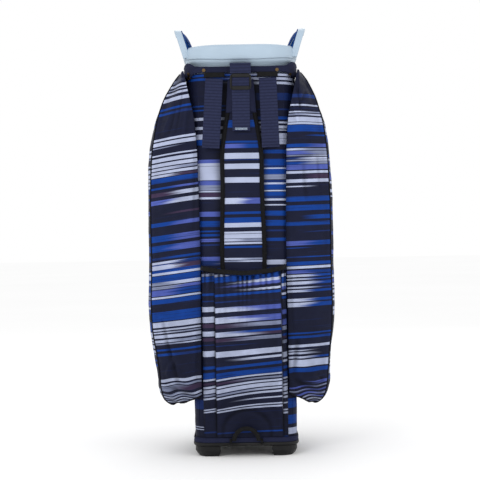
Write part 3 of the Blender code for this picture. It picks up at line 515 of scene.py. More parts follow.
def sheet_grid(name, points, uvs, thickness, materials, face_slots=None, shade=None):
    """An open skin given a thickness behind it, as one closed mesh."""
    rows, columns = points.shape[:2]
    normals = grid_normals(points)
    back = points - normals * thickness
    count = rows * columns
    front_faces = grid_faces(rows, columns)
    back_faces = [tuple(reversed([i + count for i in face])) for face in front_faces]
    rim = ([(0, c) for c in range(columns)] + [(r, columns - 1) for r in range(1, rows)]
           + [(rows - 1, c) for c in range(columns - 2, -1, -1)]
           + [(r, 0) for r in range(rows - 2, 0, -1)])
    loop = [r * columns + c for r, c in rim]
    sides = [(a, b, b + count, a + count) for a, b in zip(loop, loop[1:] + loop[:1])]
    slots = None
    if face_slots is not None:
        slots = list(face_slots) * 2 + [0] * len(sides)
    verts = np.concatenate([points.reshape(-1, 3), back.reshape(-1, 3)])
    uv = np.concatenate([np.asarray(uvs).reshape(-1, 2)] * 2)
    if shade is not None:
        shade = np.concatenate([shade.ravel(), shade.ravel()])
    return build(name, verts, front_faces + back_faces + sides, uv, materials, slots, 50,
                 shade=shade)


def unit(vectors):
    return vectors / np.maximum(np.linalg.norm(vectors, axis=-1, keepdims=True), 1e-9)


def grid_normals(points):
    return unit(np.cross(np.gradient(points, axis=1), np.gradient(points, axis=0)))


def spline(points, count):
    """Evenly spaced points on a smooth curve through the given ones."""
    given = np.asarray(points, float)
    padded = np.concatenate([[2 * given[0] - given[1]], given, [2 * given[-1] - given[-2]]])
    fine = []
    for i in range(1, len(padded) - 2):
        p0, p1, p2, p3 = padded[i - 1:i + 3]
        for t in np.linspace(0, 1, 16, endpoint=False):
            fine.append(0.5 * (2 * p1 + (p2 - p0) * t + (2 * p0 - 5 * p1 + 4 * p2 - p3) * t ** 2
                               + (3 * p1 - p0 - 3 * p2 + p3) * t ** 3))
    fine.append(padded[-2])
    fine = np.asarray(fine)
    steps = distance_along(fine)
    wanted = np.linspace(0, steps[-1], count)
    return np.stack([np.interp(wanted, steps, fine[:, k]) for k in range(given.shape[1])], axis=1)


def smooth_table(table, at):
    """Reads a smooth curve through (position, value) pairs in rising order."""
    xs = np.array([p for p, _ in table], float)
    ys = np.array([v for _, v in table], float)
    slope = np.gradient(ys, xs)
    at = np.clip(np.asarray(at, float), xs[0], xs[-1])
    i = np.clip(np.searchsorted(xs, at, side="right") - 1, 0, len(xs) - 2)
    h = xs[i + 1] - xs[i]
    t = (at - xs[i]) / h
    return ((2 * t ** 3 - 3 * t ** 2 + 1) * ys[i] + (t ** 3 - 2 * t ** 2 + t) * h * slope[i]
            + (-2 * t ** 3 + 3 * t ** 2) * ys[i + 1] + (t ** 3 - t ** 2) * h * slope[i + 1])


def sweep(name, path, section, normals, materials, closed=False, widths=None):
    """Carries a closed section of (across, out) points along a path. Normals point out of it."""
    path = np.asarray(path, float)
    section = np.asarray(section, float)
    if closed:
        tangent = np.roll(path, -1, axis=0) - np.roll(path, 1, axis=0)
    else:
        tangent = np.gradient(path, axis=0)
    tangent = unit(tangent)
    across = unit(np.cross(tangent, np.broadcast_to(np.asarray(normals, float), path.shape)))
    out = np.cross(across, tangent)
    run = distance_along(path)
    widths = np.ones(len(path)) if widths is None else widths
    rings = np.array([place + section[:, :1] * side * width + section[:, 1:] * normal
                      for place, side, width, normal in zip(path, across, widths, out)])
    uvs = np.array([np.column_stack([section[:, 0], np.full(len(section), at)]) for at in run])
    if closed:
        faces = grid_faces(len(path), len(section), True, True)
        return build(name, rings.reshape(-1, 3), faces, uvs.reshape(-1, 2), materials)
    return tube_grid(name, rings, uvs, materials)


def flat_normals(path):
    """Normals to the right of a path that stays level."""
    way = np.gradient(path, axis=0)
    return np.column_stack([way[:, 1], -way[:, 0], np.zeros(len(path))])


def upright_normals(path):
    """Normals of a path that stays in the plane of the bag's middle."""
    way = np.gradient(path, axis=0)
    return np.column_stack([np.zeros(len(path)), way[:, 2], -way[:, 1]])


def soft_power(value, power):
    """A power that keeps the value's sign, for rounded squares."""
    return math.copysign(abs(value) ** power, value)


def circle(radius, sides=8, flatten=1.0):
    return [(radius * math.cos(2 * math.pi * i / sides),
             radius * flatten * math.sin(2 * math.pi * i / sides)) for i in range(sides)]


def strap_section(half, depth, round_steps=3):
    """Section of flat webbing with softened edges and a slightly raised selvedge."""
    r = depth / 2
    points = []
    for side in (1, -1):
        for i in range(round_steps + 1):
            angle = -math.pi / 2 + math.pi * i / round_steps
            points.append((side * (half - r + r * math.cos(angle)), side * r * math.sin(angle)))
        points.append((side * (half - 0.004), side * r * 0.86))
        points.append((-side * (half - 0.004), side * r * 0.86))
    return points


def stitch_row(name, path, normals, material="thread", pitch=0.0032, length=0.0022, radius=0.00032,
               lift=0.0002):
    """A row of thread stitches that lie on a surface along a path."""
    path = np.asarray(path, float)
    normals = np.broadcast_to(np.asarray(normals, float), path.shape)
    run = distance_along(path)
    verts, faces = [], []
    for at in np.arange(pitch / 2, run[-1], pitch):
        ends = []
        for offset in (-length / 2, -length / 4, length / 4, length / 2):
            s = min(max(at + offset, 0), run[-1])
            ends.append(np.array([np.interp(s, run, path[:, k]) for k in range(3)]))
        out = np.array([np.interp(at, run, normals[:, k]) for k in range(3)])
        out /= np.linalg.norm(out)
        way = ends[-1] - ends[0]
        way /= np.linalg.norm(way)
        side = np.cross(way, out)
        base = len(verts)
        for end, share in zip(ends, (0.35, 1.0, 1.0, 0.35)):
            centre = end + out * (lift + radius * (share - 0.35))
            for k in range(5):
                angle = 2 * math.pi * k / 5
                verts.append(centre + (side * math.cos(angle) + out * math.sin(angle) * 0.8)
                             * radius * share)
        faces += [tuple(base + k for k in face) for face in grid_faces(4, 5, True) + end_caps(4, 5)]
    return build(name, verts, faces, np.zeros((len(verts), 2)), (material,))


def cross_stitches(name, x, y, z, half, steps, *looks):
    """A straight row of stitches across the strap side, from x - half to x + half."""
    row = [(x + at, y, z) for at in np.linspace(-half, half, steps)]
    return stitch_row(name, row, STRAP_SIDE, *looks)


def crumple(points, amount, scale, seed, stretch=(1.0, 1.0, 1.0)):
    """Soft random relief for each point, from -amount to amount."""
    flat = points.reshape(-1, 3)
    values = [noise.fractal(Vector((p[0] * scale * stretch[0] + seed, p[1] * scale * stretch[1],
                                    p[2] * scale * stretch[2])), 0.8, 2.1, 3) for p in flat]
    return amount * np.asarray(values).reshape(points.shape[:-1])


def ridge(a, z, a0, z0, a1, z1, width, height):
    """A fold along the line from (a0, z0) to (a1, z1) that dies out at its ends. a and z are in
    metres."""
    way = np.array([a1 - a0, z1 - z0])
    length = np.hypot(*way)
    way = way / length
    along = (a - a0) * way[0] + (z - z0) * way[1]
    off = (a - a0) * way[1] - (z - z0) * way[0]
    inside = np.clip(along / length, 0, 1)
    ends = np.sin(np.pi * inside) ** 0.7 * (along > 0) * (along < length)
    return height * ends * np.exp(-(off / width) ** 2)


# ---- outlines ------------------------------------------------------------------------------------
def rounded_outline(half_x, half_y, radius, steps, middle=AXIS_Y):
    """A rectangle with round corners, as points that go anticlockwise from its +X side."""
    points = []
    for corner in range(4):
        cx = (half_x - radius) * (1 if corner in (0, 3) else -1)
        cy = (half_y - radius) * (1 if corner in (0, 1) else -1)
        for i in range(steps + 1):
            angle = math.radians(90 * (corner + i / steps))
            points.append((cx + radius * math.cos(angle), middle + cy + radius * math.sin(angle)))
    return np.array(points)


def trunk_size(z):
    share = (z - TRUNK_Z[0]) / (TRUNK_Z[1] - TRUNK_Z[0])
    half_x = TRUNK_HALF_X[0] + (TRUNK_HALF_X[1] - TRUNK_HALF_X[0]) * share
    return half_x, TRUNK_CORNER[0] + (TRUNK_CORNER[1] - TRUNK_CORNER[0]) * share


def trunk_arc(corner, z, count, inset=0.0):
    """Evenly spaced points along one panel of the trunk, from one corner's middle to the next."""
    half_x, radius = trunk_size(z)
    outline = rounded_outline(half_x - inset, TRUNK_HALF_Y - inset, radius - inset, 24)
    first, last = corner * 25 + 12, (corner + 1) * 25 + 12
    part = np.array([outline[i % 100] for i in range(first, last + 1)])
    run = distance_along(part)
    wanted = np.linspace(0.0006, run[-1] - 0.0006, count)
    return np.stack([np.interp(wanted, run, part[:, k]) for k in range(2)], axis=1), wanted


def with_z(flat, z):
    return np.column_stack([flat, np.full(len(flat), z)])


def declare(piece, body="bag", node=None):
    """Says which body a piece moves with, and which CAD node it stands for, which it hides."""
    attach(piece, body)
    if node:
        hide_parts(node)


# ---- trunk ---------------------------------------------------------------------------------------
def make_trunk():
    for corner, (side, key) in enumerate((("front", "right_pocket"), ("left", "back"),
                                          ("back", "back"), ("right", "back"))):
        rows = np.linspace(TRUNK_Z[0], TRUNK_Z[1] - 0.0002, 110)
        points, uvs = [], []
        for z in rows:
            flat, run = trunk_arc(corner, z, 56)
            points.append(with_z(flat, z))
            across = {"left": np.zeros(len(run)), "right": np.full(len(run), 2 * SEAM_X)}.get(
                side, run - run[-1] / 2 + SEAM_X)
            uvs.append(np.column_stack([across, np.full(len(run), z)]))
        points, uvs = np.array(points), np.array(uvs)
        relief = crumple(points, 0.0009, 16.0, corner * 7.0) - 0.0009
        shade = None
        if side == "back":
            shade = strap_shade(points[..., 0], points[..., 2])
        points += grid_normals(points) * relief[..., None]
        panel = sheet_grid(f"panel_{side}", points, uvs, 0.0030, (key,), shade=shade)
        declare(panel, "bag", f"trunk_{side}_panel")


def strap_shade(x, z):
    """Painted shadow on the cloth close beside the shoulder strap, deepest next to its neck."""
    edge = smooth_table(PAD_HALF, z)
    depth = np.interp(z, (0.40, 0.44, 0.62, 0.70, 0.80, 0.815), (0.0, 0.55, 0.60, 0.85, 0.85, 0.0))
    reach = np.interp(z, (0.40, 0.66, 0.76), (0.006, 0.009, 0.014))
    reach = reach * np.where(x < 0, 1.25, 0.85)
    return 1 - depth * np.exp(-(np.maximum(0, np.abs(x) - edge) / reach) ** 2)


def make_seams():
    """The visible rows of stitching on the back panel, beside the two pocket seams."""
    for side, sign in SIDES:
        path = [(sign * 0.0915, BACK_Y - 0.0004, z) for z in np.linspace(0.800, 0.405, 60)]
        declare(stitch_row(f"seam_stitches_{side}", path, STRAP_SIDE))


def make_base():
    """The moulded tray, whose skirt comes up round the foot of the fabric."""
    profile = ((0.0045, 0.0), (0.0012, 0.10), (0.0, 0.30), (-0.0008, 0.60), (-0.0006, 0.88),
               (0.0006, 1.0), (0.0018, 1.0), (0.0022, 0.70), (0.0060, 0.66), (0.0060, 0.0))
    half = (TRUNK_HALF_X[0] + 0.0024, TRUNK_HALF_Y + 0.0023)
    skirt = level_band("base_skirt", profile, half, TRUNK_CORNER[0] + 0.002,
                       lambda x: (np.full_like(x, 0.0223), np.full_like(x, 0.0302)), "black")
    declare(skirt, "bag", "base_tray")
    floor = rounded_outline(half[0] - 0.0055, half[1] - 0.0055, TRUNK_CORNER[0] - 0.0035, 12)
    plate = [with_z(floor * k + (0, AXIS_Y * (1 - k)), z)
             for k, z in ((0.2, 0.0230), (0.7, 0.0228), (0.985, 0.0228), (1.0, 0.0236),
                          (1.0, 0.0268), (0.985, 0.0275), (0.7, 0.0275), (0.2, 0.0275))]
    rings = np.array(plate)
    disc = tube_grid("base_floor", rings, np.zeros((*rings.shape[:2], 2)), ("black",), sharp=50)
    declare(disc)


def make_binding():
    outline = rounded_outline(TRUNK_HALF_X[0] + 0.0014, TRUNK_HALF_Y + 0.0013, TRUNK_CORNER[0], 12)
    normals = flat_normals(outline)
    path = with_z(outline, BINDING_Z)
    section = [(a, b * 0.8) for a, b in strap_section(0.0055, 0.0020)]
    band = sweep("bottom_tape", path, section, normals, ("navy",), closed=True)
    declare(band, "bag", "bottom_binding")
    for label, level in (("high", 0.0036), ("low", -0.0036)):
        declare(stitch_row(f"tape_stitches_{label}", path[22:52] + (0, 0, level), normals[22:52],
                           lift=0.0008))
    for side, sign in SIDES:
        lug = [(sign * LUG_X, BACK_Y - out, z) for out, z in (
            (0.0030, 0.0385), (0.0100, 0.0388), (0.0178, 0.0360), (0.0178, 0.0300),
            (0.0100, 0.0268), (0.0030, 0.0270))]
        declare(sweep(f"handle_loop_{side}", spline(lug, 26), strap_section(0.0014, 0.0010),
                      (0, 0, 1), ("black_web",)))


# ---- collar --------------------------------------------------------------------------------------
def seam_z(x):
    share = np.minimum(1, np.abs(x) / COLLAR_HALF[0])
    return SEAM_BACK_Z + (SEAM_SIDE_Z - SEAM_BACK_Z) * share ** 2


def level_band(name, profile, half, corner, heights, key):
    """A moulded ring. The profile's points are (inset, share of the way up)."""
    rings = []
    for inset, share in profile:
        outline = rounded_outline(half[0] - inset, half[1] - inset, corner - inset, 30)
        low, high = heights(outline[:, 0])
        rings.append(np.column_stack([outline, low + (high - low) * share]))
    return band_grid(name, np.array(rings), (key,), 60)


def arch_corners(sign, outer, inner, near, far, steps=64):
    """Sections along a lift handle. Its legs go straight down below the arch to the ring's seam."""
    stations = [(0.0, drop) for drop in np.linspace(0.0125, 0.0, 5, endpoint=False)]
    stations += [(s, 0.0) for s in np.linspace(0, 1, steps)]
    stations += [(1.0, drop) for drop in np.linspace(0.0, 0.0125, 6)[1:]]
    sections = []
    for share, drop in stations:
        section = []
        for (half_span, base, height), depth in ((outer, near), (outer, far), (inner, far),
                                                 (inner, near)):
            y = -half_span * math.cos(math.pi * share)
            z = base + height * max(0.0, 1 - abs(y / half_span) ** 3) ** (1 / 3) - drop
            toe = 0.19 * max(0.0, y) + 0.025 * max(0.0, -y)
            x = COLLAR_HALF[0] + (z - SEAM_SIDE_Z) * 0.30 - toe - depth
            section.append((sign * x, AXIS_Y + y, z))
        sections.append(section)
    return np.array(sections)


def soften(obj, width, segments=3):
    """Rounds an object's hard edges."""
    modifier = obj.modifiers.new("edges", "BEVEL")
    modifier.width = width
    modifier.segments = segments
    modifier.limit_method = "ANGLE"
    modifier.angle_limit = math.radians(40)
    bake(obj)
    obj.data.shade_smooth()


def make_collar():
    ring_profile = ((0.0045, 0.0), (0.0016, 0.02), (0.0005, 0.08), (0.0, 0.30), (0.0, 0.72),
                    (0.0008, 0.86), (0.0022, 0.95), (0.0045, 1.0), (0.0070, 0.99), (0.0090, 0.93),
                    (0.0100, 0.80), (0.0100, 0.0))
    ring = level_band("collar_ring", ring_profile, COLLAR_HALF, 0.085,
                      lambda x: (seam_z(x) + 0.0003, np.full_like(x, RIM_Z)), "collar")
    declare(ring, "bag", "top_collar")
    lip = ((0.0008, 1.0), (0.0018, 0.82), (0.0044, 0.64), (0.0086, 0.48), (0.0128, 0.0),
           (0.0155, 0.0), (0.0115, 0.48), (0.0076, 0.64), (0.0050, 0.82), (0.0040, 1.0))
    flare = level_band("throat_flare", lip, (0.1212, 0.1132), 0.078,
                       lambda x: (np.full_like(x, 0.8362), seam_z(x)), "collar")
    declare(flare, "bag", "collar_lip")
    throat = level_band("throat_wall", ((0.0, 0.0), (0.0, 1.0), (0.0022, 1.0), (0.0022, 0.0)),
                        (0.1074, 0.0994), 0.055, lambda x: (np.full_like(x, 0.8062),
                                                            np.full_like(x, 0.8366)), "collar")
    declare(throat)
    outer = (0.074, ARCH_BASE_Z, HANDLE_TOP_Z - ARCH_BASE_Z)
    inner = (0.058, ARCH_BASE_Z, HANDLE_TOP_Z - 0.014 - ARCH_BASE_Z)
    for side, sign in SIDES:
        sections = arch_corners(sign, outer, inner, 0.0, 0.0148)
        uvs = np.zeros((*sections.shape[:2], 2))
        slots = [1 if c == 2 and 5 <= r < len(sections) - 6 else 0
                 for r in range(len(sections) - 1) for c in range(4)]
        arch = tube_grid(f"lift_handle_{side}", sections, uvs, ("collar", "grip"),
                         face_slots=slots)
        soften(arch, 0.0022)
        declare(arch)
        lining = arch_corners(sign, (0.0730, ARCH_BASE_Z, outer[2] - 0.0010),
                              (0.0590, ARCH_BASE_Z, inner[2] + 0.0008), 0.0151, 0.0172)[3:-3]
        piece = tube_grid(f"handle_lining_{side}", lining, np.zeros((*lining.shape[:2], 2)),
                          ("grip",))
        soften(piece, 0.0008, 2)
        declare(piece, "bag", f"handle_grip_{side}")


def make_cuff():
    half_x, half_y, corner, wall = 0.1235, 0.1095, 0.058, 0.0024
    outline = rounded_outline(half_x - 0.0002, half_y - 0.0002, corner, 26)
    tangent = np.roll(outline, -1, axis=0) - np.roll(outline, 1, axis=0)
    tangent = unit(tangent)
    normal = np.column_stack([tangent[:, 1], -tangent[:, 0], np.zeros(len(outline))])
    patch = np.maximum(0, 1 - (np.hypot(np.abs(outline[:, 0]) - 0.116,
                                        outline[:, 1] - AXIS_Y + 0.080) / 0.024) ** 2)
    low = 0.8247 - 0.010 * patch
    high = 0.8358 + 0.006 * np.minimum(1, np.abs(outline[:, 0]) / half_x) ** 2 + 0.008 * patch
    profile = ((0.0, 0.0), (0.04, 1.0), (0.14, 1.0), (0.20, 0.72), (0.5, 0.86), (0.80, 0.72),
               (0.86, 1.0), (0.96, 1.0), (1.0, 0.0))
    rings = []
    for share, out in profile:
        ring = np.column_stack([outline, low + (high - low) * share])
        rings.append(ring - normal * (wall * (1 - out) * 0.6))
    for share in (1.0, 0.0):
        ring = np.column_stack([outline, low + (high - low) * share])
        rings.append(ring - normal * wall)
    cuff = band_grid("cuff_band_cloth", np.array(rings), ("navy",), 60)
    declare(cuff, "bag", "cuff_band")
    back = np.where(outline[:, 1] < AXIS_Y - 0.03)[0]
    for label, share in (("low", 0.12), ("high", 0.88)):
        path = np.column_stack([outline, low + (high - low) * share])[back]
        declare(stitch_row(f"cuff_stitches_{label}", path, normal[back], lift=0.0001))


# ---- dividers ------------------------------------------------------------------------------------
DIVIDER_WIDTHS = {"back": 0.336, "middle": 0.286, "front": 0.427}    # wall and fins, laid flat
DIVIDER_EDGE = 0.0965


def make_dividers():
    """Cloth walls and their fins, which hang from the grid in slack waves."""
    for side, width in DIVIDER_WIDTHS.items():
        node = f"divider_wall_{side}"
        low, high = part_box(node)
        shape = bmesh.new()
        shape.from_mesh(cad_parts[node].data)
        bmesh.ops.remove_doubles(shape, verts=shape.verts, dist=1e-5)
        bmesh.ops.dissolve_limit(shape, angle_limit=0.01, verts=shape.verts, edges=shape.edges)
        for axis, step in ((0, 0.0113), (1, 0.0113), (2, 0.0247)):
            way = Vector([float(k == axis) for k in range(3)])
            for at in np.arange(low[axis] + step, high[axis] - step / 3, step):
                bmesh.ops.bisect_plane(shape, geom=shape.verts[:] + shape.edges[:] + shape.faces[:],
                                       plane_co=way * float(at), plane_no=way)
        for vert in shape.verts:
            x, y, z = vert.co
            slack = 0.0026 * math.sin(math.pi * (z - low.z) / (high.z - low.z)) ** 0.5
            vert.co.y += slack * math.sin(x * 52.0 + z * 5.0)
            vert.co.x += slack * math.sin(y * 60.0 - z * 4.0) * (1 - (x / DIVIDER_EDGE) ** 2)
        mesh = bpy.data.meshes.new(f"divider_cloth_{side}")
        shape.to_mesh(mesh)
        shape.free()
        mesh.materials.append(MATERIALS["lining"])
        cloth = place_in_scene(mesh.name, mesh)
        declare(cloth, "bag", node)


# ---- shoulder strap ------------------------------------------------------------------------------
PAD_HALF = ((0.250, 0.022), (0.270, 0.034), (0.350, 0.046), (0.400, 0.0492), (0.575, 0.0466),
            (0.664, 0.0452), (0.705, 0.0390), (0.738, 0.0332), (0.780, 0.0298), (0.809, 0.0278))
NECK_Z = 0.7375


def make_strap_pad():
    """The padded strap: a crowned printed face between two bound edges, and a plain neck above."""
    binding = 0.0088
    rows = np.concatenate([np.linspace(0.2505, 0.7335, 150), np.linspace(0.7345, 0.7405, 7),
                           np.linspace(0.7420, 0.8088, 26)])
    columns = 57
    rings, uvs, slots = [], [], []
    shares = np.linspace(-1, 1, columns)
    for z in rows:
        half = float(smooth_table(PAD_HALF, z))
        edge = 1 - binding / half
        x = np.where(np.abs(shares) < 0.8, shares / 0.8 * edge,
                     np.sign(shares) * (edge + (np.abs(shares) - 0.8) / 0.2 * (1 - edge)))
        bound = np.clip((np.abs(shares) - 0.8) / 0.2, 0, 1)
        crown = 0.0078 + 0.0030 * (1 - (x / edge) ** 2).clip(0)
        rim = 0.0066 + 0.0026 * np.sin(np.pi * np.minimum(bound * 1.15, 1) ** 0.8)
        rim *= np.sqrt(np.maximum(0.05, 1 - np.maximum(0, bound - 0.45) ** 2 / 0.31))
        depth = np.where(bound > 0, rim, crown)
        depth -= 0.0020 * np.exp(-((np.abs(shares) - 0.8) / 0.022) ** 2)
        if z > NECK_Z:
            depth = 0.0045 + 0.0052 * (1 - np.abs(shares) ** 5) + 0.0008 * np.exp(
                -((np.abs(shares) - 0.72) / 0.1) ** 2)
        depth -= 0.0025 * math.exp(-((z - NECK_Z) / 0.0018) ** 2)
        ends = min(1.0, (z - 0.2495) / 0.012, (0.8098 - z) / 0.004)
        depth *= 0.55 + 0.45 * math.sqrt(max(0.0, ends))
        depth += 0.0004 * math.sin(z * 95.0) * (1 - shares ** 2)
        front = np.column_stack([x * half, BACK_Y - 0.0006 - depth, np.full(columns, z)])
        back = np.column_stack([x[::-1] * half * 0.985, np.full(columns, BACK_Y - 0.0006),
                                np.full(columns, z)])[::4]
        rings.append(np.concatenate([front, back]))
        uvs.append(np.column_stack([np.concatenate([x * half, x[::-4] * half]) + 0.0385,
                                    np.full(columns + len(back), z)]))
    rings, uvs = np.array(rings), np.array(uvs)
    width = rings.shape[1]
    for r in range(len(rows) - 1):
        for c in range(width):
            at = abs(shares[c] + 1 / columns) if c < columns - 1 else 1.0
            neck = (rows[r] + rows[r + 1]) / 2 > NECK_Z
            slots.append(2 if neck else (1 if at > 0.8 else 0))
    pad = tube_grid("shoulder_pad", rings, uvs, ("pad", "black_cloth", "navy"),
                    face_slots=slots)
    declare(pad, "bag", "strap_pad")
    for side, sign in SIDES:
        path = []
        for z in np.linspace(0.4100, 0.7300, 90):
            half = float(smooth_table(PAD_HALF, z))
            path.append((sign * (half - binding + 0.0022), BACK_Y - 0.0100, z))
        declare(stitch_row(f"pad_stitches_{side}", path, STRAP_SIDE, "black_cloth"))
    declare(cross_stitches("neck_stitches", 0, BACK_Y - 0.0095, NECK_Z - 0.0035, 0.024, 20))


def make_webbing():
    """The strap's webbing, its folded anchor above the cuff and the bar tack at its lower end."""
    y = STRAP_WEB_Y
    path = [(0, y + inward, z) for inward, z in (
        (0, 0.8385), (-0.0002, 0.815), (0.0004, 0.792), (0.0002, 0.76), (0.0004, 0.725),
        (0.0026, 0.698))]
    web = sweep("strap_web", spline(path, 70), strap_section(WEBBING_HALF, 0.0021), STRAP_SIDE,
                ("webbing",))
    declare(web, "bag", "strap_webbing")
    front = BACK_Y - 0.0222
    lip_y = AXIS_Y - 0.1052
    tab = [(0, lip_y, 0.8422), (0, lip_y - 0.010, 0.8424), (0, front + 0.0032, 0.8420),
           (0, front - 0.0004, 0.8395), (0, front - 0.0012, 0.8350), (0, front - 0.0012, 0.8205)]
    fine = spline(tab, 44)
    anchor = sweep("anchor_tab", fine, strap_section(0.0226, 0.0017), upright_normals(fine),
                   ("webbing",))
    declare(anchor, "bag", "strap_anchor_tab")
    for k, z in enumerate((0.8232, 0.8385)):
        declare(cross_stitches(f"anchor_stitches_{k}", 0, front - 0.0020, z, 0.020, 16))
    for k in range(3):
        declare(cross_stitches(f"bar_tack_{k}", 0, y + 0.0012, 0.7005 + k * 0.0016, 0.013, 20,
                               "pale_thread", 0.0020, 0.0019, 0.0005))


def make_strap_slider():
    """A moulded three-bar slide with rounded corners."""
    half, middle = 0.0207, 0.8020
    y = BACK_Y - 0.0238
    ring = [(x, y + 0.0016 * (abs(x) > half - 0.004), z)
            for x, z in rounded_outline(half, 0.0152, 0.005, 6, middle)]
    outline = sweep("slider_frame", ring, circle(0.0022, 12, 0.80), STRAP_SIDE, ("black",),
                    closed=True)
    declare(outline, "strap_slider", "strap_slider")
    for name, reach, bar_y, z, section in (
            ("slider_bar_0", 0.0185, y, 0.8146, circle(0.0032, 12, 0.55)),
            ("slider_bar_1", 0.0185, y, 0.7896, circle(0.0034, 12, 0.55)),
            ("slider_middle_bar", 0.0205, SLIDE_BAR_Y, middle, circle(0.0016, 8, 0.8))):
        path = [(x, bar_y, z) for x in np.linspace(-reach, reach, 12)]
        declare(sweep(name, path, section, STRAP_SIDE, ("black",)), "strap_slider")


def make_web_straps():
    for side, top_x, low_x in (("left", -0.0562, -0.0662), ("right", 0.0578, 0.0625)):
        body = f"web_strap_{side}"
        y = BACK_Y - 0.0142
        path = [(top_x, y, 0.8112), (top_x + (low_x - top_x) * 0.3, y - 0.0002, 0.767),
                (top_x + (low_x - top_x) * 0.7, y + 0.0002, 0.705), (low_x, y - 0.0001, 0.6622)]
        strap = sweep(f"hanging_web_{side}", spline(path, 80), strap_section(WEBBING_HALF, 0.0024),
                      STRAP_SIDE, ("webbing",))
        declare(strap, body, f"web_strap_{side}")
        for k, z in enumerate((0.6655, 0.6720)):
            declare(cross_stitches(f"web_end_stitches_{side}_{k}", low_x, y - 0.0011, z, 0.016, 14),
                    body)
        half_loop = ((0.0212, 0.0010), (0.0214, 0.010), (0.0203, 0.0174), (0.012, 0.0180))
        loop = [(top_x - x, BACK_Y - out, KEEPER_Z) for x, out in half_loop]
        loop += [(top_x + x, BACK_Y - out, KEEPER_Z) for x, out in half_loop[::-1]]
        fine = spline(loop, 60)
        keeper = sweep(f"keeper_band_{side}", fine, strap_section(0.0052, 0.0016),
                       flat_normals(fine), ("black_web",))
        declare(keeper, "bag", f"web_keeper_{side}")


# ---- elastic pocket and low handle ---------------------------------------------------------------
REAR_HALF = 0.0905
REAR_DEPTH = ((0.042, 0.0040), (0.074, 0.0085), (0.110, 0.0200), (0.200, 0.0290), (0.400, 0.0285))
PLEATS = (-0.0630, 0.0795)


def rear_front(x, z):
    """How far the elastic pocket's cloth stands out from the back panel."""
    depth = smooth_table(REAR_DEPTH, z)
    shape = (1 - np.minimum(1, np.abs(x) / REAR_HALF) ** 9) ** 0.55
    return depth * shape


def mouth_rise(x):
    """The pocket's mouth is higher at its ends, where the elastic is sewn into the seams."""
    return 0.0115 * (np.abs(x) / REAR_HALF) ** 1.6


def make_rear_pocket():
    xs = np.concatenate([[-REAR_HALF], -REAR_HALF + 0.0012 * np.arange(1, 12),
                         np.linspace(-0.0760, 0.0760, 190),
                         REAR_HALF - 0.0012 * np.arange(11, 0, -1), [REAR_HALF]])
    rows = np.linspace(0, 1, 150)
    x, t = np.meshgrid(xs, rows)
    rise = mouth_rise(x)
    z = 0.0425 + t * (0.3882 - 0.0425 + rise)
    depth = rear_front(x, z)
    room = np.clip(depth / 0.012, 0, 1)
    below = 0.392 + rise - z
    gather = np.exp(-below / 0.014) * 1.6 + np.exp(-below / 0.034) * 1.5
    phase = 2 * np.pi * x / 0.0128 + 1.1 * np.sin(x * 140.0) + 0.8 * np.sin(x * 61.0)
    phase += below * 20.0 * np.sin(x * 75.0 + 0.6)
    uneven = 0.70 + 0.30 * np.sin(x * 83.0 + 1.0)
    relief = -0.0015 * gather * uneven * (1 - np.sin(phase))
    relief -= 0.0009 * np.exp(-below / 0.065) * (1 - np.sin(phase * 0.43 + 1.0))
    for pleat in PLEATS:
        side = -1 if pleat < 0 else 1
        beyond = 1 / (1 + np.exp(-(x - pleat) * side / 0.0006))
        relief -= 0.0032 * beyond * np.clip((0.395 - z) / 0.02, 0, 1)
        relief -= 0.0018 * np.exp(-((x - pleat) / 0.0010) ** 2)
    arch = np.hypot(x - 0.002, (z - 0.052) * 1.05)
    relief -= 0.0022 * np.exp(-((arch - 0.052) / 0.006) ** 2) * (z < 0.13)
    relief += 0.0010 * np.exp(-((arch - 0.064) / 0.008) ** 2) * (z < 0.14) - 0.001
    relief -= 0.0016 * np.exp(-((z - 0.165 - 0.12 * x) / 0.022) ** 2)
    points = np.dstack([x, BACK_Y - 0.0012 - depth, z])
    relief += (crumple(points, 0.0014, 17.0, 31.0, (1.0, 0.5, 1.6)) - 0.0014) * 0.9
    points[..., 1] -= relief * room
    slope = np.interp(z, (0.06, 0.11, 0.15, 0.19, 0.24, 0.34, 0.40), (0.04, 0.10, 0.13, 0.10, 0.075,
                                                                     0.055, 0.10))
    bend = 0.0042 * np.sin((x + 0.065) / 0.145 * math.pi) * np.interp(z, (0.06, 0.10, 0.17, 0.20),
                                                                      (0.2, 1.0, 0.6, 0.0))
    strips = np.where(x < PLEATS[0], -0.0035, np.where(x > PLEATS[1], 0.014, 0.0))
    v = z - slope * (x + 0.060) - bend + strips + 0.0006 * np.sin(phase) * np.exp(-below / 0.03)
    uvs = np.dstack([x + SEAM_X, v])
    # Painted shade: darker in the gathers' creases, just under the elastic, along the pleats and at
    # the side seams, and lighter on the crests.
    shade = cavity(relief, 5, 14, 420.0, 0.35) * (1 - 0.35 * np.exp(-below / 0.010))
    for pleat in PLEATS:
        shade *= 1 - 0.45 * np.exp(-((x - pleat) / 0.0022) ** 2)
    shade *= 1 - 0.40 * np.exp(-((REAR_HALF - np.abs(x)) / 0.003) ** 2)
    pocket = sheet_grid("elastic_pocket", points, uvs, 0.0014, ("rear",), shade=shade)
    declare(pocket, "bag", "rear_pocket")
    mouth = np.linspace(-REAR_HALF + 0.0002, REAR_HALF - 0.0002, 150)
    path = np.column_stack([mouth, BACK_Y - 0.0015 - rear_front(mouth, 0.40) * 0.985,
                            0.3946 + mouth_rise(mouth)])
    wide = 1 + 0.05 * np.sin(mouth * 2 * math.pi / 0.0054)
    band = sweep("mouth_elastic", path, strap_section(0.0050, 0.0026), flat_normals(path),
                 ("black_web",), widths=wide)
    declare(band, "bag", "rear_pocket_elastic")


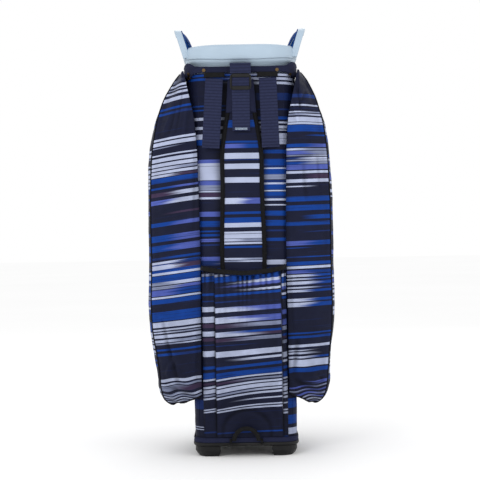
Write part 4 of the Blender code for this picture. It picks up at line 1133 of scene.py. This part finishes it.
def make_base_handle():
    """A grab handle of webbing wrapped round a core, so that its skin shows the turns."""
    middle = (0.0360, BACK_Y - 0.0150)
    rings, uvs = [], []
    turns, sides = 96, 20
    for i in range(turns + 1):
        angle = math.pi * i / turns
        ring, uv = [], []
        for k in range(sides):
            a = 2 * math.pi * k / sides
            wrap = 1 - 0.10 * max(0.0, math.sin(angle * 22 + a)) ** 4
            r = 0.0262 + 0.0047 * wrap * soft_power(math.cos(a), 0.8)
            y = middle[1] + 0.0036 * wrap * soft_power(math.sin(a), 0.8)
            ring.append((-r * math.cos(angle), y, middle[0] + r * math.sin(angle)))
            uv.append((k / sides * 0.03, angle * 0.0262))
        rings.append(ring)
        uvs.append(uv)
    handle = tube_grid("low_grab_handle", np.array(rings), np.array(uvs), ("black_web",))
    declare(handle, "base_handle", "base_handle")


# ---- side pockets --------------------------------------------------------------------------------
SIDE_OUT = {
    "left": ((0.104, 0.168), (0.112, 0.179), (0.125, 0.1875), (0.140, 0.191), (0.175, 0.1945),
             (0.226, 0.2020), (0.260, 0.2085), (0.420, 0.2100), (0.580, 0.2095), (0.668, 0.2030),
             (0.704, 0.1965), (0.730, 0.1905), (0.749, 0.1840), (0.774, 0.1730), (0.792, 0.1620),
             (0.812, 0.1480), (0.829, 0.1330)),
    "right": ((0.104, 0.161), (0.112, 0.172), (0.125, 0.1805), (0.140, 0.1850), (0.175, 0.1890),
              (0.226, 0.1935), (0.260, 0.1980), (0.420, 0.2000), (0.580, 0.1990), (0.668, 0.1935),
              (0.704, 0.1885), (0.730, 0.1825), (0.749, 0.1760), (0.774, 0.1675), (0.792, 0.1585),
              (0.812, 0.1470), (0.829, 0.1325)),
}
SIDE_PLAN = ((0.00, -0.1082), (0.15, -0.1084), (0.35, -0.1068), (0.62, -0.0925), (0.84, -0.0745),
             (0.955, -0.0560), (1.00, -0.0330), (1.00, 0.0300), (0.95, 0.0700), (0.75, 0.1030),
             (0.50, 0.1068), (0.30, 0.1072), (0.16, 0.1072))
BOTTOM_EDGE = {"left": ((0.0, 0.0290), (0.35, 0.0170), (0.7, 0.0035), (1.0, 0.0)),
               "right": ((0.0, 0.0310), (0.35, 0.0200), (0.7, 0.0045), (1.0, 0.0))}
PIPED = 0.90
# Height and distance from the middle of the seam where a side pocket leaves the back panel.
SEAM_OUT = ((0.100, 0.0935), (0.600, 0.0945), (0.690, 0.0975), (0.740, 0.1030), (0.765, 0.1085),
            (0.800, 0.1160), (0.829, 0.1220))
# Folds of a pocket's back face: distance out from the seam and height at both ends, width, height.
SIDE_FOLDS = {
    "left": (
        (0.03, 0.8, 0.052, 0.69, 0.0045, -0.0035), (0.02, 0.77, 0.034, 0.68, 0.004, 0.003),
        (0.045, 0.77, 0.066, 0.69, 0.005, -0.003), (0.06, 0.74, 0.08, 0.69, 0.005, 0.002),
        (0.006, 0.69, 0.012, 0.48, 0.004, -0.003), (0.08, 0.25, 0.052, 0.15, 0.006, -0.005),
        (0.064, 0.215, 0.078, 0.17, 0.004, 0.004), (0.01, 0.13, 0.085, 0.15, 0.007, -0.004),
        (0.02, 0.16, 0.08, 0.12, 0.006, 0.0035), (0.088, 0.3, 0.07, 0.215, 0.005, -0.0035),
        (0.004, 0.3, 0.01, 0.14, 0.005, -0.003),
    ),
    "right": (
        (0.026, 0.8, 0.04, 0.735, 0.004, -0.004), (0.012, 0.77, 0.03, 0.715, 0.003, 0.003),
        (0.052, 0.79, 0.03, 0.74, 0.004, -0.003), (0.04, 0.64, 0.046, 0.54, 0.006, -0.003),
        (0.072, 0.65, 0.076, 0.57, 0.004, -0.002), (0.02, 0.255, 0.008, 0.16, 0.006, -0.005),
        (0.01, 0.165, 0.06, 0.135, 0.006, -0.005), (0.03, 0.15, 0.075, 0.115, 0.005, 0.004),
        (0.06, 0.175, 0.09, 0.15, 0.004, -0.003), (0.004, 0.42, 0.01, 0.26, 0.004, -0.003),
    ),
}


def side_surface(side):
    """Points of a side pocket's skin, from back seam to front seam."""
    sign = -1 if side == "left" else 1
    plan = spline(SIDE_PLAN, 92)
    levels = np.linspace(0, 1, 230)
    low, top = SIDE_OUT[side][0][0], SIDE_OUT[side][-1][0]
    bottom = np.interp(plan[:, 0], *zip(*BOTTOM_EDGE[side]))
    skin = np.empty((len(levels), len(plan), 3))
    for i, t in enumerate(levels):
        outer_z = low + (top - low) * t
        z = outer_z + bottom * (1 - t) ** 6
        out = float(smooth_table(SIDE_OUT[side], outer_z))
        pull = np.interp(outer_z, (0.104, 0.118, 0.150, 0.700, 0.812, 0.829),
                         (0.60, 0.80, 1.0, 1.0, 0.80, 0.72))
        loose = np.clip((plan[:, 0] - 0.25) / 0.55, 0, 1) ** 1.5
        along = plan[:, 1] * (1 + (pull - 1) * loose)
        seam = float(smooth_table(SEAM_OUT, outer_z))
        skin[i] = np.column_stack([sign * (seam + (out - seam) * plan[:, 0]), AXIS_Y + along, z])
    return skin, plan


def make_side_pocket(side):
    sign = -1 if side == "left" else 1
    skin, plan = side_surface(side)
    normals = grid_normals(skin) * (1 if side == "right" else -1)
    x, y, z = np.abs(skin[..., 0]), skin[..., 1], skin[..., 2]
    out = x - SEAM_X
    free = np.sin(np.clip(out / 0.018, 0, 1) * np.pi / 2) * np.clip((0.826 - z) / 0.02, 0, 1)
    relief = np.zeros_like(x)
    back_face = y < AXIS_Y - 0.045
    for a0, z0, a1, z1, width, height in SIDE_FOLDS[side]:
        relief += ridge(out, z, a0, z0, a1, z1, width, height) * back_face
    low = np.exp(-np.maximum(0, z - 0.11) / 0.07)
    high = np.exp(-np.maximum(0, 0.80 - z) / 0.05)
    soft = crumple(skin, 1.0, 9.0, 3.0 if side == "left" else 17.0, (1.2, 1.2, 0.8))
    fine = crumple(skin, 1.0, 34.0, 11.0 if side == "left" else 23.0, (0.9, 0.9, 1.3))
    relief += soft * (0.0022 + 0.0045 * low) + fine * (0.0005 + 0.0016 * low + 0.0012 * high)
    relief -= 0.0022
    piped = np.exp(-((plan[:, 0] - PIPED) / 0.05) ** 2) * (plan[:, 1] < 0)
    relief = relief * (1 - 0.8 * piped[None, :])
    zip_zone = np.exp(-((x - SIDE_ZIP_X) / 0.014) ** 4) * (y > AXIS_Y + 0.09)
    relief = relief * (1 - zip_zone)
    moved = np.clip(relief, -0.009, 0.0012) * free
    skin = skin + normals * moved[..., None]
    # Painted shade: darker in the folds' creases and along the back seam, and lighter on the
    # crests.
    shade = cavity(moved, 8, 6, 190.0, 0.50) * (1 - 0.45 * np.exp(-(out / 0.006) ** 2))
    trunk = np.linspace(0.085, -0.086, 18)
    inner = np.empty((len(skin), len(trunk), 3))
    for i in range(len(skin)):
        level = skin[i, -1, 2]
        half_x, _ = trunk_size(min(level, TRUNK_Z[1]))
        lean = max(half_x + 0.0008, 0.1252 if level > 0.812 else 0.0)
        inner[i] = np.column_stack([np.full(len(trunk), sign * lean), AXIS_Y + trunk,
                                    np.linspace(level, skin[i, 0, 2], len(trunk))])
    rings = np.concatenate([skin, inner], axis=1)
    if side == "left":
        slope, zero = 0.125, -0.199
    else:
        slope, zero = 0.030, 0.140
    ripple = 0.0030 * np.sin(rings[..., 0] * 115.0 + rings[..., 2] * 60.0) * np.exp(
        -np.maximum(0, rings[..., 2] - 0.13) / 0.035)
    panel_v = rings[..., 2] - slope * (rings[..., 0] - zero) + ripple
    panel_u = rings[..., 0] + (0.199 if side == "left" else -0.094)
    gusset_v = rings[..., 2] + 0.021
    gusset_u = (rings[..., 1] - AXIS_Y) * 0.5 + 0.05
    first = np.dstack([panel_u, panel_v]).reshape(-1, 2)
    second = np.dstack([gusset_u, gusset_v]).reshape(-1, 2)
    columns = rings.shape[1]
    edge_column = int(np.argmax((plan[:, 0] > PIPED) & (plan[:, 1] < 0)))
    faces = grid_faces(len(rings), columns, True)
    alternate = [edge_column <= i % columns < len(plan) + len(trunk) - 1 for i in range(len(faces))]
    faces += end_caps(len(rings), columns)
    alternate += [True, True]
    key = "left_pocket" if side == "left" else "right_pocket"
    # Painted shade on the inner wall that lies against the trunk.
    shade = np.concatenate([shade, np.full(inner.shape[:2], 0.6)], axis=1)
    pocket = build(f"side_bag_{side}", rings.reshape(-1, 3), faces, first, (key,), shade=shade)
    set_alternate_uvs(pocket, second, alternate)
    declare(pocket, "bag", f"side_pocket_{side}")
    line = skin[::-1, edge_column]
    bottom = skin[0, edge_column::-1][1:]
    route = np.concatenate([line, bottom[:-2]])
    way = np.concatenate([normals[::-1, edge_column], normals[0, edge_column::-1][1:-2]])
    piping = sweep(f"piping_{side}", spline(route[::3] + way[::3] * 0.0006, 260),
                   circle(0.0015, 8), (0, -1, 0.02), ("black_cloth",))
    declare(piping)
    front_column = int(len(plan) - np.argmax((plan[::-1, 0] > 0.90)) - 1)
    line = skin[::-1, front_column] + normals[::-1, front_column] * 0.0006
    declare(sweep(f"front_piping_{side}", spline(line[::4], 200), circle(0.0015, 8), (0, 1, 0.02),
                  ("black_cloth",)))


def set_alternate_uvs(obj, uvs, use):
    """Gives some faces a second set of coordinates, where the cloth is cut from elsewhere."""
    mesh = obj.data
    layer = mesh.uv_layers["cloth"].data
    for polygon, other in zip(mesh.polygons, use):
        if other:
            for loop in polygon.loop_indices:
                layer[loop].uv = uvs[mesh.loops[loop].vertex_index]


# ---- front pockets -------------------------------------------------------------------------------
FRONT_POCKETS = {
    "ball": (0.0560, 0.3980, 0.1000, 0.1800, "right_pocket"),
    "cooler": (0.4080, 0.5980, 0.0960, 0.1480, "left_pocket"),
    "valuables": (0.6080, 0.7440, 0.0900, 0.1120, "right_pocket"),
}
SWELL = 0.007


def make_front_pocket(name):
    low, high, half, front, key = FRONT_POCKETS[name]
    back = FRONT_Y + 0.0008
    rings = []
    levels, columns = 40, 72
    for i in range(levels):
        t = i / (levels - 1)
        draw = 1 - (1 - min(1.0, math.sin(math.pi * t) * 3.2)) ** 2 * 0.30
        depth = (front - SWELL - back) * draw
        width = (half - SWELL * 0.6) * (0.90 + 0.10 * draw)
        ring = []
        for k in range(columns):
            a = 2 * math.pi * k / columns
            ring.append((width * soft_power(math.cos(a), 0.35),
                         back + depth / 2 + depth / 2 * soft_power(math.sin(a), 0.35),
                         low + 0.002 + (high - low - 0.004) * t))
        rings.append(ring)
    uvs = np.zeros((levels, columns, 2))
    piece = tube_grid(f"{name}_pouch", np.array(rings), uvs, (key,))
    puff(piece, back + 0.004, 0.005)
    mesh = piece.data
    places = read_points(mesh)
    zip_z = high - POCKET_ZIP_DROP
    near = np.exp(-((places[:, 2] - zip_z) / 0.016) ** 4)
    near *= np.clip((half - np.abs(places[:, 0])) / 0.02, 0, 1)
    on_front = places[:, 1] > front - 0.030
    seat = front - 0.0004
    places[:, 1] = np.where(on_front, places[:, 1] + (seat - places[:, 1]) * near, places[:, 1])
    places[:, 1] = np.clip(places[:, 1], back, front - 0.0002)
    places[:, 0] = np.clip(places[:, 0], -half, half)
    places[:, 2] = np.clip(places[:, 2], low + 0.0005, high - 0.0005)
    mesh.vertices.foreach_set("co", places.ravel())
    set_uvs(mesh, np.column_stack([0.1 - places[:, 0] * 0.5, places[:, 2] + 0.03 * places[:, 0]]))
    mesh.shade_smooth()
    mesh.update()
    set_shade(mesh)
    declare(piece, "bag", f"{name}_pocket")
    bpy.context.view_layer.update()
    outline = []
    rim = 0.88
    for i in range(120):
        a = 2 * math.pi * i / 120
        x = half * rim * soft_power(math.cos(a), 0.4)
        z = (low + high) / 2 + (high - low) / 2 * rim * soft_power(math.sin(a), 0.4)
        if abs(z - zip_z) < 0.010:
            z = zip_z + math.copysign(0.010, z - zip_z)
        hit, place, normal, _ = piece.ray_cast(Vector((x, 0.4, z)), Vector(STRAP_SIDE))
        if hit:
            outline.append(tuple(place + normal * 0.0004))
    ring = sweep(f"{name}_piping", outline, circle(0.0014, 8), (0, 1, 0), ("black_cloth",),
                 closed=True)
    declare(ring)


def subdivide(obj, levels):
    modifier = obj.modifiers.new("finer", "SUBSURF")
    modifier.levels = modifier.render_levels = levels
    bake(obj)


def bake(obj):
    """Applies an object's modifiers."""
    graph = bpy.context.evaluated_depsgraph_get()
    mesh = bpy.data.meshes.new_from_object(obj.evaluated_get(graph), preserve_all_data_layers=True,
                                           depsgraph=graph)
    obj.modifiers.clear()
    old = obj.data
    obj.data = mesh
    mesh.name = old.name
    if old.users == 0:
        bpy.data.meshes.remove(old)


def puff(obj, pinned_below, voxel):
    """Swells a sewn pouch with air, held where it is sewn to the trunk, as a cloth simulation."""
    material = obj.data.materials[0]
    remesh = obj.modifiers.new("even", "REMESH")
    remesh.mode = "VOXEL"
    remesh.voxel_size = voxel
    bake(obj)
    before = read_points(obj.data)
    held = obj.vertex_groups.new(name="held")
    held.add([int(i) for i in np.where(before[:, 1] < pinned_below)[0]], 1.0, "REPLACE")
    cloth = obj.modifiers.new("air", "CLOTH")
    settings = cloth.settings
    settings.quality = 5
    settings.mass = 0.25
    settings.tension_stiffness = settings.compression_stiffness = 18
    settings.bending_stiffness = 0.4
    settings.use_pressure = True
    settings.uniform_pressure_force = 4.0
    settings.shrink_min = -0.04
    settings.vertex_group_mass = "held"
    settings.effector_weights.gravity = 0.0
    cloth.collision_settings.use_collision = False
    scene = bpy.context.scene
    for step in range(1, 21):
        scene.frame_set(step)
    bake(obj)
    scene.frame_set(1)
    move = read_points(obj.data) - before
    reach = np.linalg.norm(move, axis=1, keepdims=True)
    move *= np.minimum(1, 0.014 / np.maximum(reach, 1e-9))
    obj.data.vertices.foreach_set("co", (before + move).astype(np.float32).ravel())
    obj.vertex_groups.clear()
    subdivide(obj, 1)
    if not obj.data.materials:
        obj.data.materials.append(material)


# ---- zips ----------------------------------------------------------------------------------------
BOX_QUADS = ((0, 1, 3, 2), (4, 6, 7, 5), (0, 4, 5, 1), (2, 3, 7, 6), (0, 2, 6, 4), (1, 5, 7, 3))


def make_zip(name, origin, along, across, out, length):
    """A coil zip: two tapes that meet under a row of teeth."""
    origin, along, across, out = (np.array(v, float) for v in (origin, along, across, out))
    path = [origin + along * s + out * 0.0009 for s in np.linspace(-0.0098, length + 0.0098, 60)]
    tape = sweep(f"zip_tape_{name}", path, strap_section(0.0059, 0.0008), out, ("black_cloth",))
    declare(tape, "bag", f"zip_track_{name}")
    verts, faces = [], []
    for i, s in enumerate(np.arange(-0.007, length + 0.007, 0.0016)):
        side = 1 if i % 2 else -1
        centre = origin + along * s + across * side * 0.0007 + out * 0.0013
        base = len(verts)
        for a in (-1, 1):
            for b in (-1, 1):
                for c in (-1, 1):
                    verts.append(centre + along * a * 0.0005 + across * b * 0.0016
                                 + out * c * (0.0005 if b == side else 0.0003))
        faces += [tuple(base + k for k in quad) for quad in BOX_QUADS]
    teeth = build(f"zip_coil_{name}", verts, faces, np.zeros((len(verts), 2)), ("black",))
    declare(teeth)


def make_zips():
    for side, sign in SIDES:
        make_zip(f"side_{side}", (sign * SIDE_ZIP_X, AXIS_Y + 0.1075, SIDE_ZIP_TOP_Z), (0, 0, -1),
                 (sign, 0, 0), (0, 1, 0), SIDE_ZIP_LENGTH)
    for name, (_, high, half, front, _) in FRONT_POCKETS.items():
        reach = half - POCKET_ZIP_INSET
        make_zip(name, (reach, front, high - POCKET_ZIP_DROP), (-1, 0, 0), (0, 0, 1), (0, 1, 0),
                 2 * reach)


# ---- front fittings ------------------------------------------------------------------------------
def make_front_fittings():
    path = [(-0.0570, 0.0012), (-0.0540, 0.0125), (-0.0435, 0.0235), (-0.0200, 0.0272),
            (0.0200, 0.0272), (0.0435, 0.0235), (0.0540, 0.0125), (0.0570, 0.0012)]
    fine = spline([(x, FRONT_Y + y, FRONT_HANDLE_Z) for x, y in path], 70)
    normals = -flat_normals(fine)
    handle = sweep("front_grab_handle", fine, strap_section(0.0112, 0.0050, 5), normals,
                   ("webbing",))
    declare(handle, "bag", "front_handle")
    for k, z in enumerate((0.7715, 0.7885)):
        row = fine[16:54] + unit(normals[16:54]) * 0.0024
        row = row + (0, 0, z - FRONT_HANDLE_Z)
        declare(stitch_row(f"front_handle_stitches_{k}", row, normals[16:54]))
    profile = [(-0.0033, 0.0155), (-0.0033, 0.0010), (-0.0023, -0.0023), (0.0, -0.0034),
               (0.0023, -0.0023), (0.0033, 0.0010), (0.0033, 0.0155)]
    x, pivot_y, pivot_z = RING_PIVOT
    fine = spline([(x, pivot_y + y, pivot_z + z) for y, z in profile], 48)
    tab = sweep("ring_loop", fine, strap_section(0.0044, 0.0010), -upright_normals(fine),
                ("webbing",))
    declare(tab, "bag", "towel_ring_tab")


# ---- finishes of the moulded and metal pieces ----------------------------------------------------
KEPT = {"divider_grid": "collar", "towel_ring": "steel"}
PREFIXES = {"foot_": "black", "stay_rod_": "rod",
            "rivet_": "brass", "zip_slider_": "steel", "zip_pull_": "rubber"}


def finish_kept_nodes():
    for name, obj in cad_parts.items():
        key = KEPT.get(name)
        for prefix, value in PREFIXES.items():
            if name.startswith(prefix):
                key = value
        if key:
            for slot in obj.material_slots:
                slot.material = MATERIALS[key]


# ---- stage, light and camera ---------------------------------------------------------------------
FLOOR_REACH = 30.0
LAMPS = (("key", (-1.4, -3.0, 2.3), 1.4, 24.0), ("fill", (1.9, -2.6, 1.2), 1.8, 7.0),
         ("rim", (0.3, 2.4, 2.4), 1.6, 12.0))     # name, place, size in metres, power in watts


def make_stage():
    mesh = bpy.data.meshes.new("floor")
    corners = [(-FLOOR_REACH, -FLOOR_REACH, 0), (FLOOR_REACH, -FLOOR_REACH, 0),
               (FLOOR_REACH, FLOOR_REACH, 0), (-FLOOR_REACH, FLOOR_REACH, 0)]
    mesh.from_pydata(corners, [], [(0, 1, 2, 3)])
    nodes = Nodes("studio_floor")
    tone = nodes.noise(nodes.place(), 0.6, 2.0)
    pale = nodes.mix(nodes.remap(tone, 0.3, 0.7), (0.965, 0.965, 0.965), (0.98, 0.98, 0.98))
    nodes.finish(pale, 0.8, specular=0.0)
    mesh.materials.append(nodes.material)
    place_in_scene("floor", mesh)
    world = bpy.data.worlds.new("studio")
    bpy.context.scene.world = world
    world.use_nodes = True
    world.node_tree.nodes["Background"].inputs["Color"].default_value = (1.0, 1.0, 1.0, 1.0)
    world.node_tree.nodes["Background"].inputs["Strength"].default_value = 1.0
    for name, place, size, power in LAMPS:
        light = bpy.data.lights.new(name, "AREA")
        light.energy = power
        light.size = size
        lamp = place_in_scene(name, light)
        lamp.location = place
        aim = Vector((0, AXIS_Y, 0.5)) - Vector(place)
        lamp.rotation_euler = aim.to_track_quat("-Z", "Y").to_euler()


def make_camera():
    camera = bpy.data.cameras.new("camera")
    camera.sensor_width = SENSOR_WIDTH
    camera.lens = SENSOR_WIDTH * CAMERA_DISTANCE / CAMERA_WIDTH
    camera.clip_start = 0.05
    obj = place_in_scene("camera", camera)
    right = Vector((math.cos(CAMERA_ROLL), 0, -math.sin(CAMERA_ROLL)))
    up = Vector((math.sin(CAMERA_ROLL), 0, math.cos(CAMERA_ROLL)))
    back = right.cross(up)
    obj.matrix_world = Matrix(((right.x, up.x, back.x, CAMERA_X),
                               (right.y, up.y, back.y, AXIS_Y - CAMERA_DISTANCE),
                               (right.z, up.z, back.z, CAMERA_Z), (0, 0, 0, 1)))
    bpy.context.scene.camera = obj
    bpy.context.scene.view_settings.view_transform = "Standard"


def main():
    make_stage()
    make_camera()
    finish_kept_nodes()
    make_trunk()
    make_seams()
    make_base()
    make_binding()
    make_collar()
    make_cuff()
    make_dividers()
    make_strap_pad()
    make_webbing()
    make_strap_slider()
    make_web_straps()
    make_rear_pocket()
    make_base_handle()
    for side in ("left", "right"):
        make_side_pocket(side)
    for name in FRONT_POCKETS:
        make_front_pocket(name)
    make_zips()
    make_front_fittings()


main()
